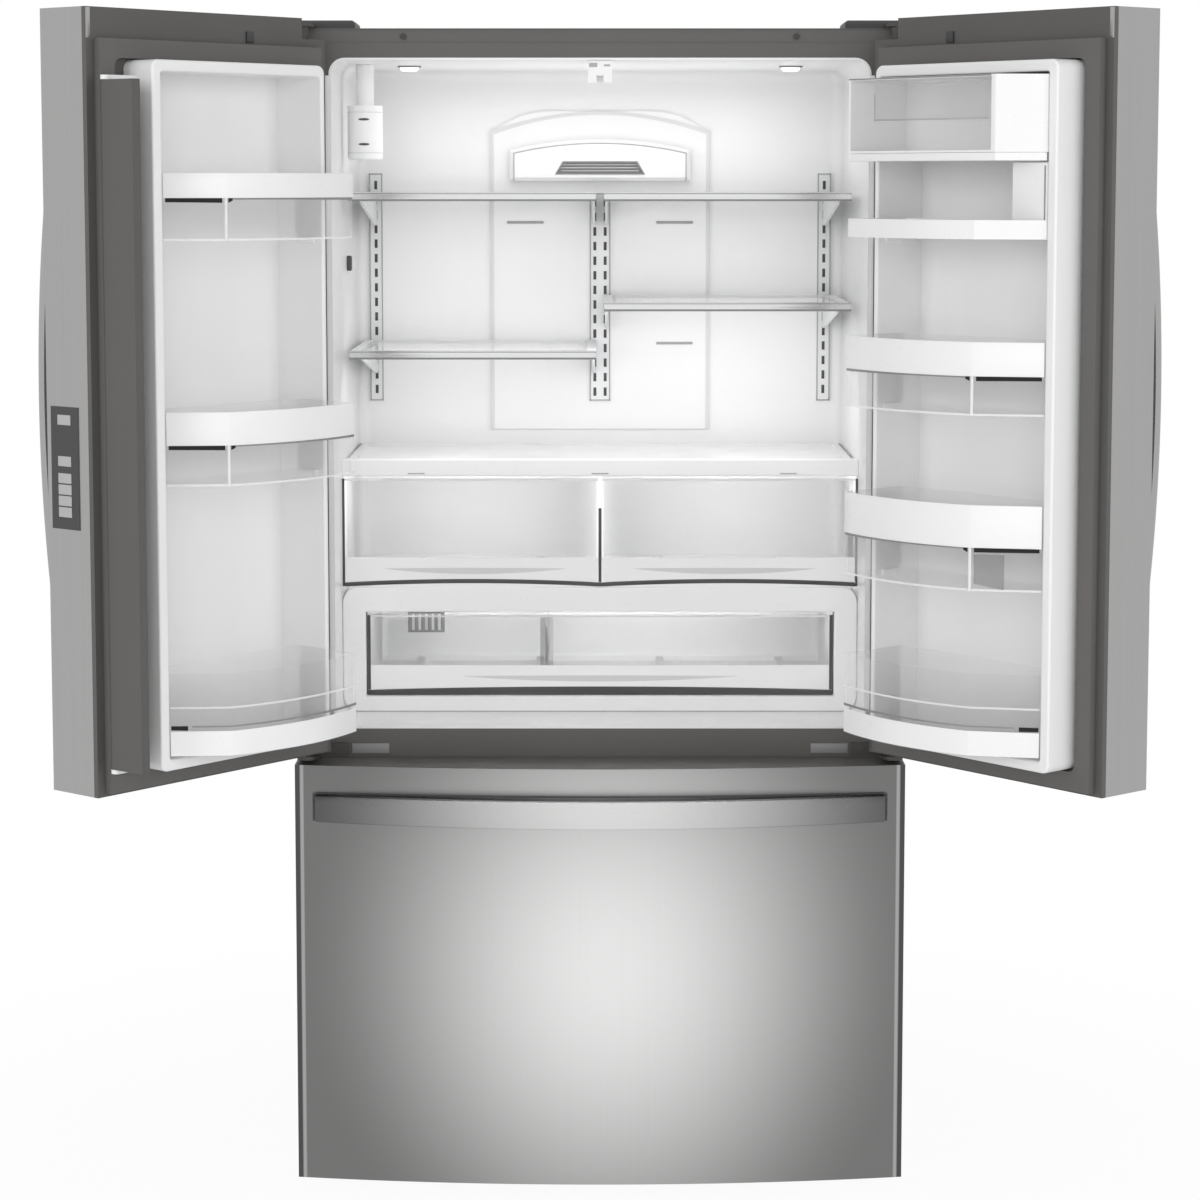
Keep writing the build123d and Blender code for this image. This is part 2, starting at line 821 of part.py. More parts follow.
# Mullion bar, folded square to the open door
with BuildPart() as mullion_bar:
    far_p = gasket_t + fit_gap + mullion_w
    with BuildSketch(left.plane(mullion_bottom)):
        with Locations(mullion_pivot(left)):
            Circle(mullion_t / 2)
        with BuildLine():
            Polyline(
                left.at(door_w - mullion_inset - mullion_t / 2, gasket_t + fit_gap + mullion_t / 2),
                left.at(door_w - mullion_inset + mullion_t / 2, gasket_t + fit_gap + mullion_t / 2),
                left.at(door_w - mullion_inset + mullion_t / 2, far_p),
                left.at(door_w - mullion_inset - mullion_t / 2, far_p),
                close=True,
            )
        make_face()
    extrude(amount=mullion_top - mullion_bottom)
    for z in (mullion_bottom, mullion_top - mullion_pin_reach - pin_end_gap):
        with BuildSketch(left.plane(z)):
            with Locations(mullion_pivot(left)):
                Circle(mullion_pin_r + pin_play)
        extrude(amount=mullion_pin_reach + pin_end_gap, mode=Mode.SUBTRACT)
save(mullion_bar, "mullion_bar")

# Outer wrapper: two sides and the top, bent from one sheet
with BuildPart() as cabinet_wrapper:
    with BuildSketch(front_plane(0)):
        with Locations((0, (case_top + case_bottom) / 2)):
            Rectangle(case_w, case_top - case_bottom)
        with Locations((0, (case_top + case_bottom) / 2 - sheet_t)):
            Rectangle(2 * wrap_half, case_top - case_bottom, mode=Mode.SUBTRACT)
    extrude(amount=-rear_y)
save(cabinet_wrapper, "cabinet_wrapper")

# Rear panel with louvres over the machine compartment
louvre_w = 70.0
louvre_h = 5.0
louvre_rows = 6
louvre_pitch = 22.0
louvre_columns = 5
with BuildPart() as rear_panel:
    with BuildSketch(front_plane(rear_y)):
        with Locations((0, (case_top + base_z) / 2)):
            Rectangle(case_w, case_top - base_z)
        with Locations((0, base_z + machine_top / 2)):
            with GridLocations(2 * louvre_w, louvre_pitch, louvre_columns, louvre_rows):
                SlotOverall(louvre_w, louvre_h, mode=Mode.SUBTRACT)
    extrude(amount=-rear_panel_t)
save(rear_panel, "rear_panel")


def liner_openings(grow):
    """The two compartment openings on a front plane, grown by a wall."""
    with Locations((0, (fresh_floor + fresh_ceiling) / 2)):
        RectangleRounded(
            2 * (fresh_half_w + grow),
            fresh_ceiling - fresh_floor + 2 * grow,
            fresh_corner_r,
            mode=Mode.SUBTRACT,
        )
    with Locations((0, (freezer_floor + freezer_ceiling) / 2)):
        Rectangle(
            2 * (freezer_half_w + grow), freezer_ceiling - freezer_floor + 2 * grow, mode=Mode.SUBTRACT
        )


# Face frame: the dark front of the case round both openings
rail_step = 2.0
with BuildPart() as face_frame:
    with BuildSketch(front_plane(0)):
        with Locations((0, (case_top - sheet_t + base_z) / 2)):
            Rectangle(2 * wrap_half, case_top - sheet_t - base_z)
        liner_openings(liner_t)
    extrude(amount=-face_t)
    block(
        (-wrap_half, wrap_half),
        (-cut_over, rail_step),
        ((fresh_ceiling + liner_t + case_top) / 2, case_top),
        mode=Mode.SUBTRACT,
    )
save(face_frame, "face_frame")


def foam(x_range, depth_range, z_range):
    """A foam slab that stops a hair short of its neighbours."""
    ranges = [(low + foam_gap, high - foam_gap) for low, high in (x_range, depth_range, z_range)]
    block(*ranges)


# Insulation: foam slabs between the case and the liners
with BuildPart() as insulation:
    foam_top = case_top - sheet_t
    fresh_back = fresh_depth + liner_t
    freezer_back = freezer_depth + liner_t
    for side in (-1, 1):
        x_range = sorted((side * liner_half, side * wrap_half))
        foam(x_range, (face_t, rear_y), (machine_top, foam_top))
        foam(x_range, (face_t, machine_depth), (base_z + base_t, machine_top))
    across = (-liner_half, liner_half)
    foam(across, (face_t, rear_y), (fresh_ceiling + liner_t, foam_top))
    foam(across, (fresh_back, rear_y), (divider_top, fresh_ceiling + liner_t))
    foam(across, (face_t, rear_y), (divider_bottom, divider_top))
    foam(across, (evaporator_back, rear_y), (freezer_step_z - liner_t, divider_bottom))
    foam(across, (freezer_step_depth + liner_t, rear_y), (machine_top, freezer_step_z - liner_t))
    foam(across, (freezer_step_depth + liner_t, machine_depth), (base_z + base_t, machine_top))
    foam(across, (face_t, freezer_step_depth + liner_t), (base_z + base_t, freezer_floor - liner_t))
save(insulation, "insulation")

# Fresh food liner: a rounded white box, open in front
with BuildPart() as fresh_food_liner:
    with BuildSketch(front_plane(0)):
        with Locations((0, (fresh_floor + fresh_ceiling) / 2)):
            RectangleRounded(2 * liner_half, fresh_ceiling - fresh_floor + 2 * liner_t, fresh_corner_r)
    extrude(amount=-(fresh_depth + liner_t))
    fillet(fresh_food_liner.faces().sort_by(Axis.Y)[-1].edges(), radius=fresh_corner_r - liner_t)
    offset(amount=-liner_t, openings=fresh_food_liner.faces().sort_by(Axis.Y)[0])
save(fresh_food_liner, "fresh_food_liner")

# Freezer liner: stepped over the machine compartment
with BuildPart() as freezer_liner:
    for grow, mode in ((liner_t, Mode.ADD), (0, Mode.SUBTRACT)):
        half = freezer_half_w + grow
        with BuildSketch(side_plane(-half)):
            with BuildLine():
                Polyline(
                    (0, freezer_floor - grow),
                    (freezer_step_depth + grow, freezer_floor - grow),
                    (freezer_step_depth + grow, freezer_step_z - grow),
                    (freezer_depth + grow, freezer_step_z - grow),
                    (freezer_depth + grow, freezer_ceiling + grow),
                    (0, freezer_ceiling + grow),
                    close=True,
                )
            make_face()
        extrude(amount=2 * half, mode=mode)
save(freezer_liner, "freezer_liner")

# Base frame with cheeks for the rear rollers
cheek_t = 3.0
cheek_gap = 1.0
with BuildPart() as base_frame:
    block((-wrap_half, wrap_half), (face_t, rear_y), (base_z, base_z + base_t))
    for side in (-1, 1):
        for edge in (-1, 1):
            inner = side * roller_x + edge * (roller_w / 2 + cheek_gap)
            outer = inner + edge * cheek_t
            block(
                sorted((inner, outer)),
                (roller_depth - roller_r, roller_depth + roller_r),
                (roller_r - 2 * axle_r, base_z),
            )
        with BuildSketch(side_plane(side * roller_x - roller_w / 2 - cheek_gap)):
            with Locations((roller_depth, roller_r)):
                Circle(axle_r)
        extrude(amount=roller_w + 2 * cheek_gap)
save(base_frame, "base_frame")

with BuildPart() as rear_rollers:
    for side in (-1, 1):
        with BuildSketch(side_plane(side * roller_x - roller_w / 2)):
            with Locations((roller_depth, roller_r)):
                Circle(roller_r)
                Circle(axle_r + fan_bore_play, mode=Mode.SUBTRACT)
        extrude(amount=roller_w)
save(rear_rollers, "rear_rollers")

with BuildPart() as leveling_legs:
    for side in (-1, 1):
        with BuildSketch(floor_plane(0)):
            with Locations((side * leg_x, leg_depth)):
                RegularPolygon(leg_foot_r, 6)
        extrude(amount=leg_foot_h)
        with BuildSketch(floor_plane(leg_foot_h)):
            with Locations((side * leg_x, leg_depth)):
                Circle(leg_stud_r)
        extrude(amount=base_z - leg_foot_h)
save(leveling_legs, "leveling_legs")

# Toe grille with upright slots, hung under the face frame
grille_slot = 6.0
grille_pitch = 20.0
grille_margin = 49.0
grille_slots = int(2 * (wrap_half - grille_margin) / grille_pitch)
with BuildPart() as toe_grille:
    block((-wrap_half, wrap_half), (0, grille_t), (grille_bottom, base_z))
    with BuildSketch(front_plane(0)):
        with Locations((0, (grille_bottom + base_z) / 2)):
            with GridLocations(grille_pitch, 1, grille_slots, 1):
                SlotOverall(base_z - grille_bottom - 2 * grille_slot, grille_slot, 90)
    extrude(amount=-grille_t, mode=Mode.SUBTRACT)
save(toe_grille, "toe_grille")

# Air tower on the back wall, with an arched top
tower_side_top = tower_top - tower_shoulder
tower_slot_w = 62.0
tower_slot_h = 5.0
tower_slot_x = 123.0
slot_shelf_gap = 49.0
lower_slot_gap = 80.0
tower_slots = (
    (-tower_slot_x, top_shelf_z - slot_shelf_gap),
    (tower_slot_x, top_shelf_z - slot_shelf_gap),
    (tower_slot_x, right_shelf_z - lower_slot_gap),
)
with BuildPart() as air_tower:
    with BuildSketch(front_plane(fresh_depth - tower_t)):
        with BuildLine():
            Polyline(
                (-tower_half_w, tower_side_top),
                (-tower_half_w, tower_bottom),
                (tower_half_w, tower_bottom),
                (tower_half_w, tower_side_top),
            )
            Spline(
                (tower_half_w, tower_side_top),
                (tower_half_w - tower_shoulder, tower_top - tower_rise),
                (0, tower_top),
                (-tower_half_w + tower_shoulder, tower_top - tower_rise),
                (-tower_half_w, tower_side_top),
            )
        make_face()
    extrude(amount=-tower_t)
    with BuildSketch(front_plane(fresh_depth - tower_t)):
        with Locations(*tower_slots):
            SlotOverall(tower_slot_w, tower_slot_h)
    extrude(amount=-tower_t / 2, mode=Mode.SUBTRACT)
save(air_tower, "air_tower")

# Arched air outlet over the tower, with a grille slot
outlet_slot_half_w = 74.0
outlet_slot_h = 22.0
outlet_slot_rise = 21.0
outlet_slot_z = outlet_bottom + outlet_slot_rise
outlet_arch = 18.0
outlet_slot_angle = 60.0
with BuildPart() as air_outlet:
    outlet_depth = fresh_depth - tower_t
    with BuildSketch(front_plane(outlet_depth)):
        with BuildLine():
            Polyline(
                (-outlet_half_w, outlet_top - outlet_arch),
                (-outlet_half_w, outlet_bottom),
                (outlet_half_w, outlet_bottom),
                (outlet_half_w, outlet_top - outlet_arch),
            )
            ThreePointArc(
                (outlet_half_w, outlet_top - outlet_arch),
                (0, outlet_top),
                (-outlet_half_w, outlet_top - outlet_arch),
            )
        make_face()
    extrude(amount=outlet_t)
    with BuildSketch(front_plane(outlet_depth - outlet_t)):
        with Locations((0, outlet_slot_z)):
            Trapezoid(2 * outlet_slot_half_w, outlet_slot_h, outlet_slot_angle)
    extrude(amount=-outlet_t / 2, mode=Mode.SUBTRACT)
    chamfer(air_outlet.faces().sort_by(Axis.Y)[0].outer_wire().edges(), length=outlet_t / 4)
save(air_outlet, "air_outlet")

# Ceiling lights: two small domed lenses
with BuildPart() as ceiling_lights:
    with BuildSketch(floor_plane(fresh_ceiling - fit_gap)):
        for side in (-1, 1):
            with Locations((side * light_x, light_depth)):
                Circle(light_r)
    extrude(amount=-light_t)
    fillet(ceiling_lights.faces().sort_by(Axis.Z)[:2].edges(), radius=light_round)
save(ceiling_lights, "ceiling_lights")

# Mullion guide under the ceiling, with the slot that turns the mullion
guide_slot = 10.0
with BuildPart() as mullion_guide:
    block(
        (-guide_w / 2, guide_w / 2),
        (guide_front, guide_front + guide_depth),
        (guide_bottom, fresh_ceiling - fit_gap),
    )
    block(
        (-guide_slot / 2, guide_slot / 2),
        (0, guide_front + guide_depth / 2),
        (0, guide_bottom + guide_slot),
        mode=Mode.SUBTRACT,
    )
    fillet(mullion_guide.edges().filter_by(Axis.Z).group_by(Axis.Y)[-1], radius=guide_slot / 2)
save(mullion_guide, "mullion_guide")

# Water filter under its head
filter_head_r = 14.0
filter_grip = 4.0
with BuildPart() as water_filter:
    with BuildSketch(floor_plane(filter_bottom)):
        with Locations((-filter_x, filter_depth)):
            Circle(filter_r)
    extrude(amount=filter_top - filter_bottom)
    fillet(water_filter.edges().filter_by(GeomType.CIRCLE).sort_by(Axis.Z)[0], radius=filter_grip)
save(water_filter, "water_filter")

with BuildPart() as filter_head:
    with BuildSketch(floor_plane(filter_top + fit_gap)):
        with Locations((-filter_x, filter_depth)):
            Circle(filter_head_r)
    extrude(amount=fresh_ceiling - filter_top - 2 * fit_gap)
save(filter_head, "filter_head")

# Shelf tracks: slotted ladders, two on the back wall and one on the air tower
track_slot_w = 5.0
track_slot_h = 14.0
track_pitch = 24.0
centre_track_w = 34.0
track_outlet_gap = 20.0
centre_track_top = outlet_bottom - track_outlet_gap
with BuildPart() as shelf_tracks:
    for x, width, depth, top in (
        (-track_x, track_w, fresh_depth, track_top),
        (0, centre_track_w, fresh_depth - tower_t, centre_track_top),
        (track_x, track_w, fresh_depth, track_top),
    ):
        with BuildSketch(front_plane(depth)):
            with Locations((x, (top + track_bottom) / 2)):
                Rectangle(width, top - track_bottom)
                columns = 2 if x == 0 else 1
                with GridLocations(width / 2, track_pitch, columns, int((top - track_bottom) / track_pitch)):
                    Rectangle(track_slot_w, track_slot_h, mode=Mode.SUBTRACT)
        extrude(amount=track_t - fit_gap)
save(shelf_tracks, "shelf_tracks")

# Shelves: a frame on two cantilever arms, with a glass pane let into it
shelf_back = fresh_depth - tower_t - track_t - shelf_back_gap
shelves = (
    (-shelf_side, -shelf_gap / 2, top_shelf_z),
    (shelf_gap / 2, shelf_side, top_shelf_z),
    (-shelf_side, -shelf_gap / 2, left_shelf_z),
    (shelf_gap / 2, shelf_side, right_shelf_z),
)
arm_front = shelf_front + arm_setback
with BuildPart() as shelf_frames:
    for x0, x1, z in shelves:
        with BuildSketch(floor_plane(z - frame_h)):
            with Locations(((x0 + x1) / 2, (shelf_front + shelf_back) / 2)):
                Rectangle(x1 - x0, shelf_back - shelf_front)
                Rectangle(
                    x1 - x0 - 2 * frame_bar,
                    shelf_back - shelf_front - 2 * frame_bar,
                    mode=Mode.SUBTRACT,
                )
        extrude(amount=frame_h)
        with BuildSketch(floor_plane(z - glass_t)):
            with Locations(((x0 + x1) / 2, (shelf_front + shelf_back) / 2)):
                inset = 2 * (frame_bar - glass_lap)
                Rectangle(x1 - x0 - inset, shelf_back - shelf_front - inset)
        extrude(amount=glass_t, mode=Mode.SUBTRACT)
        side = -1 if x0 < 0 else 1
        for x, back in (
            (side * track_x, fresh_depth - track_t),
            (side * (shelf_gap / 2 + arm_t), fresh_depth - tower_t - track_t),
        ):
            under = z - frame_h
            with BuildSketch(side_plane(x - arm_t / 2)):
                with BuildLine():
                    Polyline(
                        (arm_front, under),
                        (back - fit_gap, under),
                        (back - fit_gap, under - arm_h),
                        (back - fit_gap - arm_h / 2, under - arm_h),
                        (arm_front, under - arm_nose),
                        close=True,
                    )
                make_face()
            extrude(amount=arm_t)
save(shelf_frames, "shelf_frames")

# Crisper cover: a moulded frame across the cabinet that holds a glass pane
cover_half = fresh_half_w - fit_gap
cover_front = shelf_front - cover_overhang
cover_bar = 22.0
with BuildPart() as crisper_cover:
    cover_middle = (0, (cover_front + shelf_back) / 2)
    with BuildSketch(floor_plane(cover_bottom)):
        with Locations(cover_middle):
            Rectangle(2 * cover_half, shelf_back - cover_front)
            Rectangle(
                2 * (cover_half - cover_bar),
                shelf_back - cover_front - 2 * cover_bar,
                mode=Mode.SUBTRACT,
            )
    extrude(amount=cover_top - cover_bottom)
    block(
        (-cover_half, cover_half),
        (cover_front, cover_front + cover_lip),
        (cover_top, cover_top + cover_lip / 2),
    )
    with BuildSketch(floor_plane(cover_top - glass_t)):
        with Locations(cover_middle):
            inset = 2 * (cover_bar - glass_lap)
            Rectangle(2 * cover_half - inset, shelf_back - cover_front - inset)
    extrude(amount=glass_t, mode=Mode.SUBTRACT)
    fillet(crisper_cover.faces().sort_by(Axis.Y)[0].edges().filter_by(Axis.X), radius=cover_round)
save(crisper_cover, "crisper_cover")

with BuildPart() as shelf_glass:
    for x0, x1, z in shelves:
        with BuildSketch(floor_plane(z - glass_t)):
            with Locations(((x0 + x1) / 2, (shelf_front + shelf_back) / 2)):
                inset = 2 * (frame_bar - glass_lap + foam_gap)
                Rectangle(x1 - x0 - inset, shelf_back - shelf_front - inset)
        extrude(amount=glass_t)
    with BuildSketch(floor_plane(cover_top - glass_t)):
        with Locations((0, (cover_front + shelf_back) / 2)):
            inset = 2 * (cover_bar - glass_lap + foam_gap)
            Rectangle(2 * cover_half - inset, shelf_back - cover_front - inset)
    extrude(amount=glass_t)
save(shelf_glass, "shelf_glass")

# Pantry housing: the white front under the crispers, with runners above and inside
housing_half = fresh_half_w - fit_gap
housing_bottom = fresh_floor + fit_gap
housing_floor = 24.0
pantry_clear = 2.0
with BuildPart() as pantry_housing:
    with BuildSketch(front_plane(housing_front)):
        with Locations((0, (housing_top + housing_bottom) / 2)):
            RectangleRounded(2 * housing_half, housing_top - housing_bottom, fresh_corner_r)
    extrude(amount=-(housing_back - housing_front))
    block(
        (-pantry_half_w - pantry_clear, pantry_half_w + pantry_clear),
        (housing_front - cut_over, housing_back - liner_t),
        (housing_bottom + housing_floor, pantry_opening_top),
        mode=Mode.SUBTRACT,
    )
    fillet(pantry_housing.faces().sort_by(Axis.Y)[0].edges(), radius=housing_round)
    for station in runner_stations:
        middle = station * crisper_half_w
        runner = (middle - runner_w / 2, middle + runner_w / 2)
        block(runner, (shelf_front, crisper_back), (housing_top, crisper_bottom - fit_gap))
        block(runner, (shelf_front, crisper_back), (housing_bottom, pantry_bottom - fit_gap))
save(pantry_housing, "pantry_housing")


def drawer_outline(x0, x1, front, back, bow):
    """Closed level outline of a pull-out pan with a bowed front."""
    with BuildLine() as line:
        Polyline((x0, front), (x0, back), (x1, back), (x1, front))
        ThreePointArc((x1, front), ((x0 + x1) / 2, front - bow), (x0, front))
    return line.line


def pan(name, x_range, z_range, wall, dividers):
    """Clear pull-out pan with a bowed front, a finger lip along its top and upright dividers."""
    x0, x1 = x_range
    bottom, top = z_range
    with BuildPart() as tub:
        with BuildSketch(floor_plane(bottom)):
            make_face(drawer_outline(x0, x1, shelf_front, crisper_back, drawer_bow))
        extrude(amount=top - bottom)
        with BuildSketch(floor_plane(bottom + wall)):
            make_face(
                drawer_outline(x0 + wall, x1 - wall, shelf_front + wall, crisper_back - wall, drawer_bow)
            )
        extrude(amount=top - bottom, mode=Mode.SUBTRACT)
        block((x0 + wall, x1 - wall), (shelf_front, shelf_front + pan_lip), (top - wall, top))
        for x in dividers:
            block(
                (x - wall / 2, x + wall / 2),
                (shelf_front + wall / 2, crisper_back - wall / 2),
                (bottom + wall / 2, top - 2 * pan_lip),
            )
    save(tub, name)


crisper_z = (crisper_bottom, crisper_top)
pan("left_crisper", (-crisper_half_w, -crisper_gap / 2), crisper_z, crisper_wall, ())
pan("right_crisper", (crisper_gap / 2, crisper_half_w), crisper_z, crisper_wall, ())
pan(
    "pantry_drawer",
    (-pantry_half_w, pantry_half_w),
    (pantry_bottom, pantry_top),
    pantry_wall,
    (pantry_divider_x,),
)

# Door hinges: top brackets on the case, and centre brackets on the crossbar
bracket_back = 90.0
boss_r = 13.0
centre_flange_t = 3.0
centre_flange_w = 60.0
centre_flange_gap = 2.0
centre_flange_bottom = drawer_top + centre_flange_gap
centre_flange_top = gasket_bottom - centre_flange_gap
pin_depth_line = -gasket_gap - pin_depth
with BuildPart() as door_hinges:
    for side in (-1, 1):
        plates = ((case_top, bracket_t, bracket_back), (hinge_plate_z, hinge_plate_t, 0))
        for z, thickness, back in plates:
            with BuildSketch(floor_plane(z)):
                with Locations((side * pin_x, pin_depth_line)):
                    Circle(bracket_w / 2)
                with Locations((side * pin_x, (pin_depth_line + back) / 2)):
                    Rectangle(bracket_w, back - pin_depth_line)
                with Locations((side * (case_w / 2 + bracket_w), 0)):
                    Rectangle(2 * bracket_w, 4 * bracket_back, mode=Mode.SUBTRACT)
            extrude(amount=thickness)
        notch_floor = door_top - notch_h
        hinge_plate_top = hinge_plate_z + hinge_plate_t
        for radius, low, high in (
            (boss_r, notch_floor + fit_gap, case_top),
            (pin_r, notch_floor - pin_reach + pin_end_gap, case_top),
            (boss_r, hinge_plate_top, door_bottom - fit_gap),
            (pin_r, hinge_plate_top, door_bottom + pin_reach - pin_end_gap),
        ):
            with BuildSketch(floor_plane(low)):
                with Locations((side * pin_x, pin_depth_line)):
                    Circle(radius)
            extrude(amount=high - low)
        block(
            sorted((side * (pin_x - centre_flange_w), side * (pin_x + pin_r))),
            (-centre_flange_t, 0),
            (centre_flange_bottom, centre_flange_top),
        )
save(door_hinges, "door_hinges")

# Hinge covers on top of the case
hinge_cover_w = 88.0
hinge_cover_depth = 96.0
hinge_cover_h = 12.0
hinge_cover_front = 6.0
with BuildPart() as hinge_covers:
    for side in (-1, 1):
        outer = case_w / 2 - sheet_t
        x_range = sorted((side * (outer - hinge_cover_w), side * outer))
        depth_range = (hinge_cover_front, hinge_cover_front + hinge_cover_depth)
        block(x_range, depth_range, (case_top, case_top + hinge_cover_h))
    chamfer(hinge_covers.faces().sort_by(Axis.Z)[-2:].edges(), length=hinge_cover_h / 3)
    for side in (-1, 1):
        arm = sorted((side * (pin_x - bracket_w / 2 - fit_gap), side * case_w))
        block(
            arm,
            (0, bracket_back + fit_gap),
            (case_top, case_top + bracket_t + fit_gap),
            mode=Mode.SUBTRACT,
        )
save(hinge_covers, "hinge_covers")


def freezer_outline(inset, start):
    """Closed level outline of the drawer front, drawn in by inset."""
    half = overall_w / 2 - inset
    side_depth = -gasket_gap - edge_t + inset
    with BuildLine() as line:
        Polyline((half, side_depth), (half, start), (-half, start), (-half, side_depth))
        ThreePointArc((-half, side_depth), (0, -gasket_gap - centre_t + inset), (half, side_depth))
    return line.line


# Freezer drawer front: skin, frame, gasket and handle
flange_depth = -gasket_gap - flange_t
with BuildPart() as freezer_front_skin:
    with BuildSketch(floor_plane(drawer_bottom)):
        make_face(freezer_outline(0, flange_depth))
        make_face(freezer_outline(sheet_t, flange_depth + cut_over), mode=Mode.SUBTRACT)
    extrude(amount=drawer_top - drawer_bottom)
save(freezer_front_skin, "freezer_front_skin")

with BuildPart() as freezer_front_frame:
    with BuildSketch(floor_plane(drawer_bottom)):
        make_face(freezer_outline(sheet_t, flange_depth))
        with Locations((0, flange_depth + flange_t / 2)):
            Rectangle(overall_w, flange_t)
    extrude(amount=drawer_top - drawer_bottom)
save(freezer_front_frame, "freezer_front_frame")

gasket_liner_gap = 1.0
freezer_gasket_inner = freezer_half_w + liner_t + gasket_liner_gap
with BuildPart() as freezer_gasket:
    with BuildSketch(front_plane(-gasket_gap)):
        with Locations((0, (freezer_floor + freezer_ceiling) / 2)):
            inner_h = freezer_ceiling - freezer_floor + 2 * (liner_t + gasket_liner_gap)
            Rectangle(2 * (freezer_gasket_inner + gasket_w), inner_h + 2 * gasket_w)
            Rectangle(2 * freezer_gasket_inner, inner_h, mode=Mode.SUBTRACT)
    extrude(amount=-gasket_t)
save(freezer_gasket, "freezer_gasket")

with BuildPart() as freezer_handle:
    half = freezer_handle_half_w
    foot_half = half - freezer_handle_foot
    foot = -gasket_gap - front_thickness(foot_half) - fit_gap
    tip = -gasket_gap - front_thickness(0) - freezer_handle_bow - freezer_handle_t
    end = -gasket_gap - front_thickness(half) - fit_gap
    with BuildSketch(floor_plane(freezer_handle_bottom)):
        with BuildLine():
            Line((half, end), (half, end - freezer_handle_t))
            ThreePointArc((half, end - freezer_handle_t), (0, tip), (-half, end - freezer_handle_t))
            Polyline((-half, end - freezer_handle_t), (-half, end), (-foot_half, foot))
            ThreePointArc((-foot_half, foot), (0, tip + freezer_handle_t), (foot_half, foot))
            Line((foot_half, foot), (half, end))
        make_face()
    extrude(amount=freezer_handle_top - freezer_handle_bottom)
    fillet(freezer_handle.edges().filter_by(GeomType.CIRCLE), radius=handle_round)
save(freezer_handle, "freezer_handle")

# Drawer rails on the freezer walls, and the drawer's own slides
slide_outer = freezer_half_w - rail_t - fit_gap
slide_z = rail_z + (rail_h - slide_h) / 2
with BuildPart() as freezer_rails:
    for side in (-1, 1):
        x_range = sorted((side * (freezer_half_w - rail_t), side * (freezer_half_w - foam_gap)))
        block(x_range, (rail_front, rail_front + rail_length), (rail_z, rail_z + rail_h))
save(freezer_rails, "freezer_rails")

with BuildPart() as freezer_slides:
    for side in (-1, 1):
        x_range = sorted((side * (slide_outer - slide_t), side * slide_outer))
        block(x_range, (-gasket_gap, rail_length - gasket_gap), (slide_z, slide_z + slide_h))
save(freezer_slides, "freezer_slides")

rim_z = slide_z + slide_h + fit_gap
with BuildPart() as freezer_bin:
    bin_front = -gasket_gap + fit_gap
    tub_x = (-freezer_bin_half_w, freezer_bin_half_w)
    block(tub_x, (bin_front, freezer_bin_back), (freezer_bin_bottom, rim_z))
    block((-slide_outer, slide_outer), (bin_front, freezer_bin_back), (rim_z, rim_z + bin_rim))
    inner = freezer_bin_half_w - bin_wall
    block(
        (-inner, inner),
        (bin_front + bin_wall, freezer_bin_back - bin_wall),
        (freezer_bin_bottom + bin_wall, rim_z + bin_rim),
        mode=Mode.SUBTRACT,
    )
save(freezer_bin, "freezer_bin")

basket_bottom = rim_z + bin_rim + fit_gap
basket_front = 10.0
basket_slot = 12.0
basket_pitch = 40.0
with BuildPart() as freezer_basket:
    basket_z = (basket_bottom, basket_bottom + basket_h)
    block((-slide_outer, slide_outer), (basket_front, basket_back), basket_z)
    inner = slide_outer - basket_wall
    block(
        (-inner, inner),
        (basket_front + basket_wall, basket_back - basket_wall),
        (basket_bottom + basket_wall, basket_bottom + basket_h),
        mode=Mode.SUBTRACT,
    )
    with BuildSketch(front_plane(basket_front)):
        with Locations((0, basket_bottom + basket_h / 2)):
            with GridLocations(basket_pitch, 1, int(2 * inner / basket_pitch) - 1, 1):
                SlotOverall(basket_h - 4 * basket_slot, basket_slot, 90)
    extrude(amount=-basket_wall, mode=Mode.SUBTRACT)
save(freezer_basket, "freezer_basket")

# Evaporator: a plate behind the freezer, with finned tubes and the fan motor
fin_t = 1.5
fin_pitch = 28.0
fin_reach = 26.0
coil_r = 5.0
coil_rows = 5
coil_setback = 36.0
plate_t = 4.0
coil_depth = evaporator_back - coil_setback
with BuildPart() as evaporator:
    block(
        (-evaporator_half_w, evaporator_half_w),
        (evaporator_back - plate_t, evaporator_back),
        (evaporator_bottom, freezer_ceiling),
    )
    for row in range(coil_rows):
        z = evaporator_bottom + (row + 0.5) * (evaporator_top - evaporator_bottom) / coil_rows
        with BuildSketch(side_plane(-evaporator_half_w)):
            with Locations((coil_depth, z)):
                Circle(coil_r)
        extrude(amount=2 * evaporator_half_w)
    for column in range(int(2 * evaporator_half_w / fin_pitch) - 1):
        x = -evaporator_half_w + (column + 1) * fin_pitch
        fin_depths = (coil_depth - fin_reach, evaporator_back)
        block((x - fin_t, x + fin_t), fin_depths, (evaporator_bottom, evaporator_top))
    with BuildSketch(front_plane(evaporator_back)):
        with Locations((0, evaporator_fan_z)):
            Circle(motor_r)
    extrude(amount=evaporator_back - evaporator_fan_depth - fan_hub_t / 2 - motor_gap)
    with BuildSketch(front_plane(evaporator_back)):
        with Locations((0, evaporator_fan_z)):
            Circle(fan_shaft_r)
    extrude(amount=evaporator_back - evaporator_fan_depth + fan_hub_t / 2)
save(evaporator, "evaporator")


def fan(name, plane, radius, width):
    """Fan wheel with a bored hub, on a plane square to its shaft."""
    with BuildPart() as wheel:
        with Locations(plane.location):
            Cylinder(fan_hub_r, fan_hub_t)
            root = fan_hub_r - blade_root
            with PolarLocations((radius + root) / 2, blade_count):
                Box(radius - root, width, blade_t, rotation=(blade_pitch, 0, 0))
            Cylinder(fan_shaft_r + fan_bore_play, 2 * fan_hub_t, mode=Mode.SUBTRACT)
    save(wheel, name)


